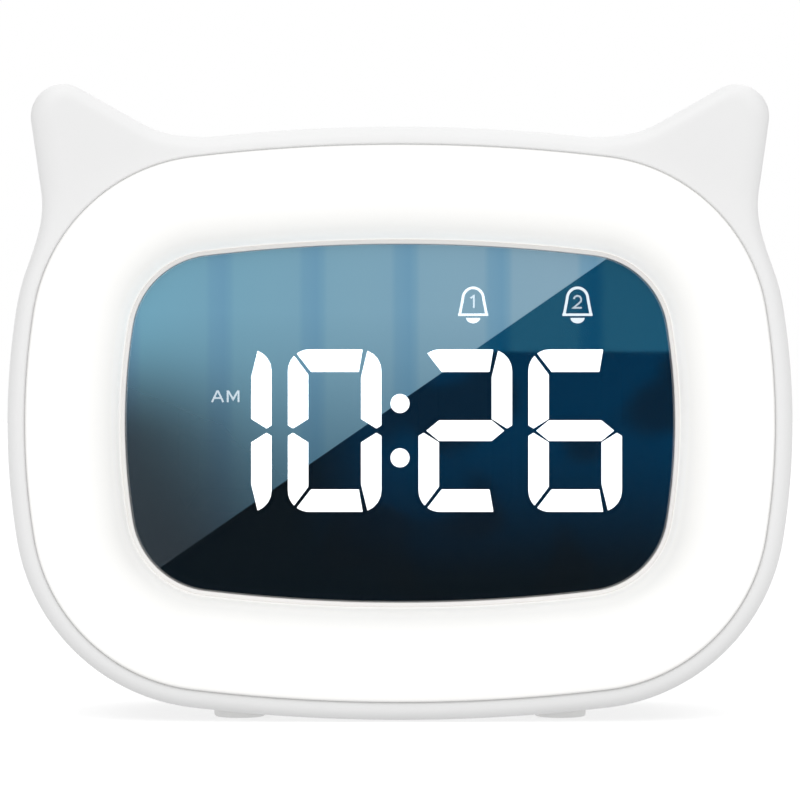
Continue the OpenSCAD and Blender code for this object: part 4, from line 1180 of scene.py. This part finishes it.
def snooze_cap():
    """The cap follows the housing's bow, with rounded edges, on its flange and post."""
    edge, post_h, flange_t = 0.6, 3.0, 0.5
    post_low = snooze_low.z / MM - LIFT
    flange_y = post_low + post_h
    flange = stadium(SNOOZE_W + 2 * FLANGE_OUT, SNOOZE_DEPTH + 2 * FLANGE_OUT)
    turns = np.linspace(-pi / 2, 3 * pi / 2, len(flange), endpoint=False)
    post = [(STEM_R * cos(t), STEM_R * sin(t)) for t in turns]
    rings = [
        snooze_level(post, post_low),
        snooze_level(post, flange_y),
        snooze_level(flange, flange_y),
        snooze_level(flange, flange_y + flange_t),
        snooze_level(stadium(SNOOZE_W, SNOOZE_DEPTH), flange_y + flange_t),
    ]
    steps = [(edge * (1 - cos(a)), edge * (1 - sin(a))) for a in np.radians([0, 20, 40, 60, 75, 90])]
    steps += [(inset, 0) for inset in (1.2, 2.0, 3.0, 4.0)]
    for inset, drop in steps:
        outline = stadium(SNOOZE_W - 2 * inset, SNOOZE_DEPTH - 2 * inset)
        bow = [sqrt(TOP_BOW_R ** 2 - x * x) + TOP_C[1] - FINE - drop for x, _ in outline]
        rings.append([(x, y, SNOOZE_Z + z) for (x, z), y in zip(outline, bow)])
    return Shape().skin(rings).object("snooze_cap", finishes["housing_plastic"])


def moon_sign():
    """A crescent printed in the middle of the cap, just proud of it."""
    r, bite, shift, lean = 2.1, 1.75, 0.85, radians(35)
    meet = np.degrees(np.arccos((shift ** 2 + r ** 2 - bite ** 2) / (2 * shift * r)))
    bitten = np.degrees(np.arccos((shift ** 2 + bite ** 2 - r ** 2) / (2 * shift * bite)))
    outside = arc((0, 0), (r, r), meet, 360 - meet, 28)
    inside = arc((shift, 0), (bite, bite), 180 + bitten, 180 - bitten, 22)
    crescent = outside + inside[1:-1]
    outline = [(x * cos(lean) - z * sin(lean), x * sin(lean) + z * cos(lean)) for x, z in crescent]
    top = HALF_H - FINE
    levels = [snooze_level(outline, top + y) for y in (-INK_T, INK_T)]
    return Shape().skin(levels).object("moon_sign", finishes["icon_ink"])


place(snooze_cap(), "housing_plastic", "snooze_body", ["snooze_button"], sharp=40)
place(moon_sign(), "housing_plastic", "snooze_body")

# ---- feet ----


def feet():
    """Silicone pads with a rounded edge and a shallow hollow in the sole."""
    r, edge, sole_w, slope_w, hollow, middle_r = FOOT_D / 2, 0.5, 1.4, 0.3, 0.15, 0.2
    profile = [
        (r, 0),
        *arc((r - edge, FOOT_T - edge), (edge, edge), 0, 90, 5),
        (r - sole_w, FOOT_T),
        (r - sole_w - slope_w, FOOT_T - hollow),
        (middle_r, FOOT_T - hollow),
    ]
    pads = add_feet(Shape(), profile, [FRONT_FOOT_Z, REAR_FOOT_Z])
    return pads.object("silicone_feet", finishes["foot_silicone"])


place(feet(), "foot_silicone", nodes=["foot_pads"])

# ---- stage, light and camera ----

FLOOR_HALF = 8.0
CAMERA_GAP = 600.0
CAMERA_UP = 55.3
FRAME_W = 137.0
LAMP_TARGET = np.array([0, 0, 0.05])
# the sky's strength at eye level, its slope upwards, and how much it loses high on either side and below
AMBIENT, AMBIENT_SLOPE = 0.95, 0.18
SIDE_DIM, BELOW_DIM = 0.95, 0.18


def floor():
    mesh = bpy.data.meshes.new("floor")
    corners = [(x * FLOOR_HALF, y * FLOOR_HALF, 0) for x, y in ((-1, -1), (1, -1), (1, 1), (-1, 1))]
    mesh.from_pydata(corners, [], [(0, 1, 2, 3)])
    look = Look("floor", roughness=0.9, specular_ior_level=0.1, emission_color=WHITE, emission_strength=0.5)
    look.on(base_color=look.mix(look.noise(60, detail=3), "#D6D6D6", "#D2D2D2"))
    mesh.materials.append(look.material)
    made = add_object("floor", mesh)
    made.visible_diffuse = False


def lamp(name, at, size, power):
    data = bpy.data.lights.new(name, "AREA")
    data.shape = "DISK"
    data.size = size
    data.energy = power
    made = add_object(name, data)
    made.location = at
    made.rotation_mode = "QUATERNION"
    made.rotation_quaternion = Vector(LAMP_TARGET - np.array(at)).to_track_quat("-Z", "Y")
    made.visible_camera = False


def sky_strength(tree):
    """A little brighter above than below, and dim high up on either side."""
    where = add_node(tree, "TexCoord").outputs["Generated"]
    split = add_node(tree, "SeparateXYZ", {0: where}).outputs

    def share(value, start, end):
        """Goes from 0 to 1 between start and end."""
        made = calc(tree, "DIVIDE", calc(tree, "SUBTRACT", value, start), end - start)
        return calc(tree, "MAXIMUM", calc(tree, "MINIMUM", made, 1.0), 0.0)

    sloped = calc(tree, "MULTIPLY_ADD", split["Z"], AMBIENT_SLOPE, AMBIENT)
    beside = share(calc(tree, "ABSOLUTE", split["X"]), 0.5, 0.8)
    above = share(split["Z"], 0.1, 0.4)
    below_eye = share(split["Z"], -0.2, -0.7)
    dim = calc(tree, "MULTIPLY", calc(tree, "MULTIPLY", beside, above), SIDE_DIM)
    dim = calc(tree, "MULTIPLY_ADD", below_eye, BELOW_DIM, dim)
    return calc(tree, "SUBTRACT", sloped, dim)


def studio():
    """Three soft lamps under a white sky, which the camera sees at full strength."""
    scene = bpy.context.scene
    scene.world = bpy.data.worlds.new("studio")
    scene.world.use_nodes = True
    tree = scene.world.node_tree
    shown = fill(tree, tree.nodes["Background"], {"Color": WHITE, "Strength": 1.0})
    ambient = add_node(tree, "Background", {"Color": WHITE, "Strength": sky_strength(tree)})
    from_camera = add_node(tree, "LightPath").outputs["Is Camera Ray"]
    pick = add_node(tree, "MixShader", {0: from_camera, 1: ambient.outputs[0], 2: shown.outputs[0]})
    fill(tree, tree.nodes["World Output"], {"Surface": pick.outputs[0]})
    lamp("key_light", (-0.3, -0.95, 0.9), 0.9, 2.3)
    lamp("fill_light", (0.7, -0.8, 0.65), 0.8, 0.9)
    lamp("rear_light", (0.35, 0.9, 0.8), 0.8, 0.3)
    scene.view_settings.view_transform = "Standard"


def camera():
    data = bpy.data.cameras.new("camera")
    data.lens = data.sensor_width * CAMERA_GAP / FRAME_W
    data.dof.use_dof = False
    data.clip_start = 0.01
    data.clip_end = 50
    made = add_object("camera", data)
    made.location = (0, -(RIM_Z + CAMERA_GAP) * MM, CAMERA_UP * MM)
    made.rotation_euler = (pi / 2, 0, 0)
    bpy.context.scene.camera = made


floor()
studio()
camera()
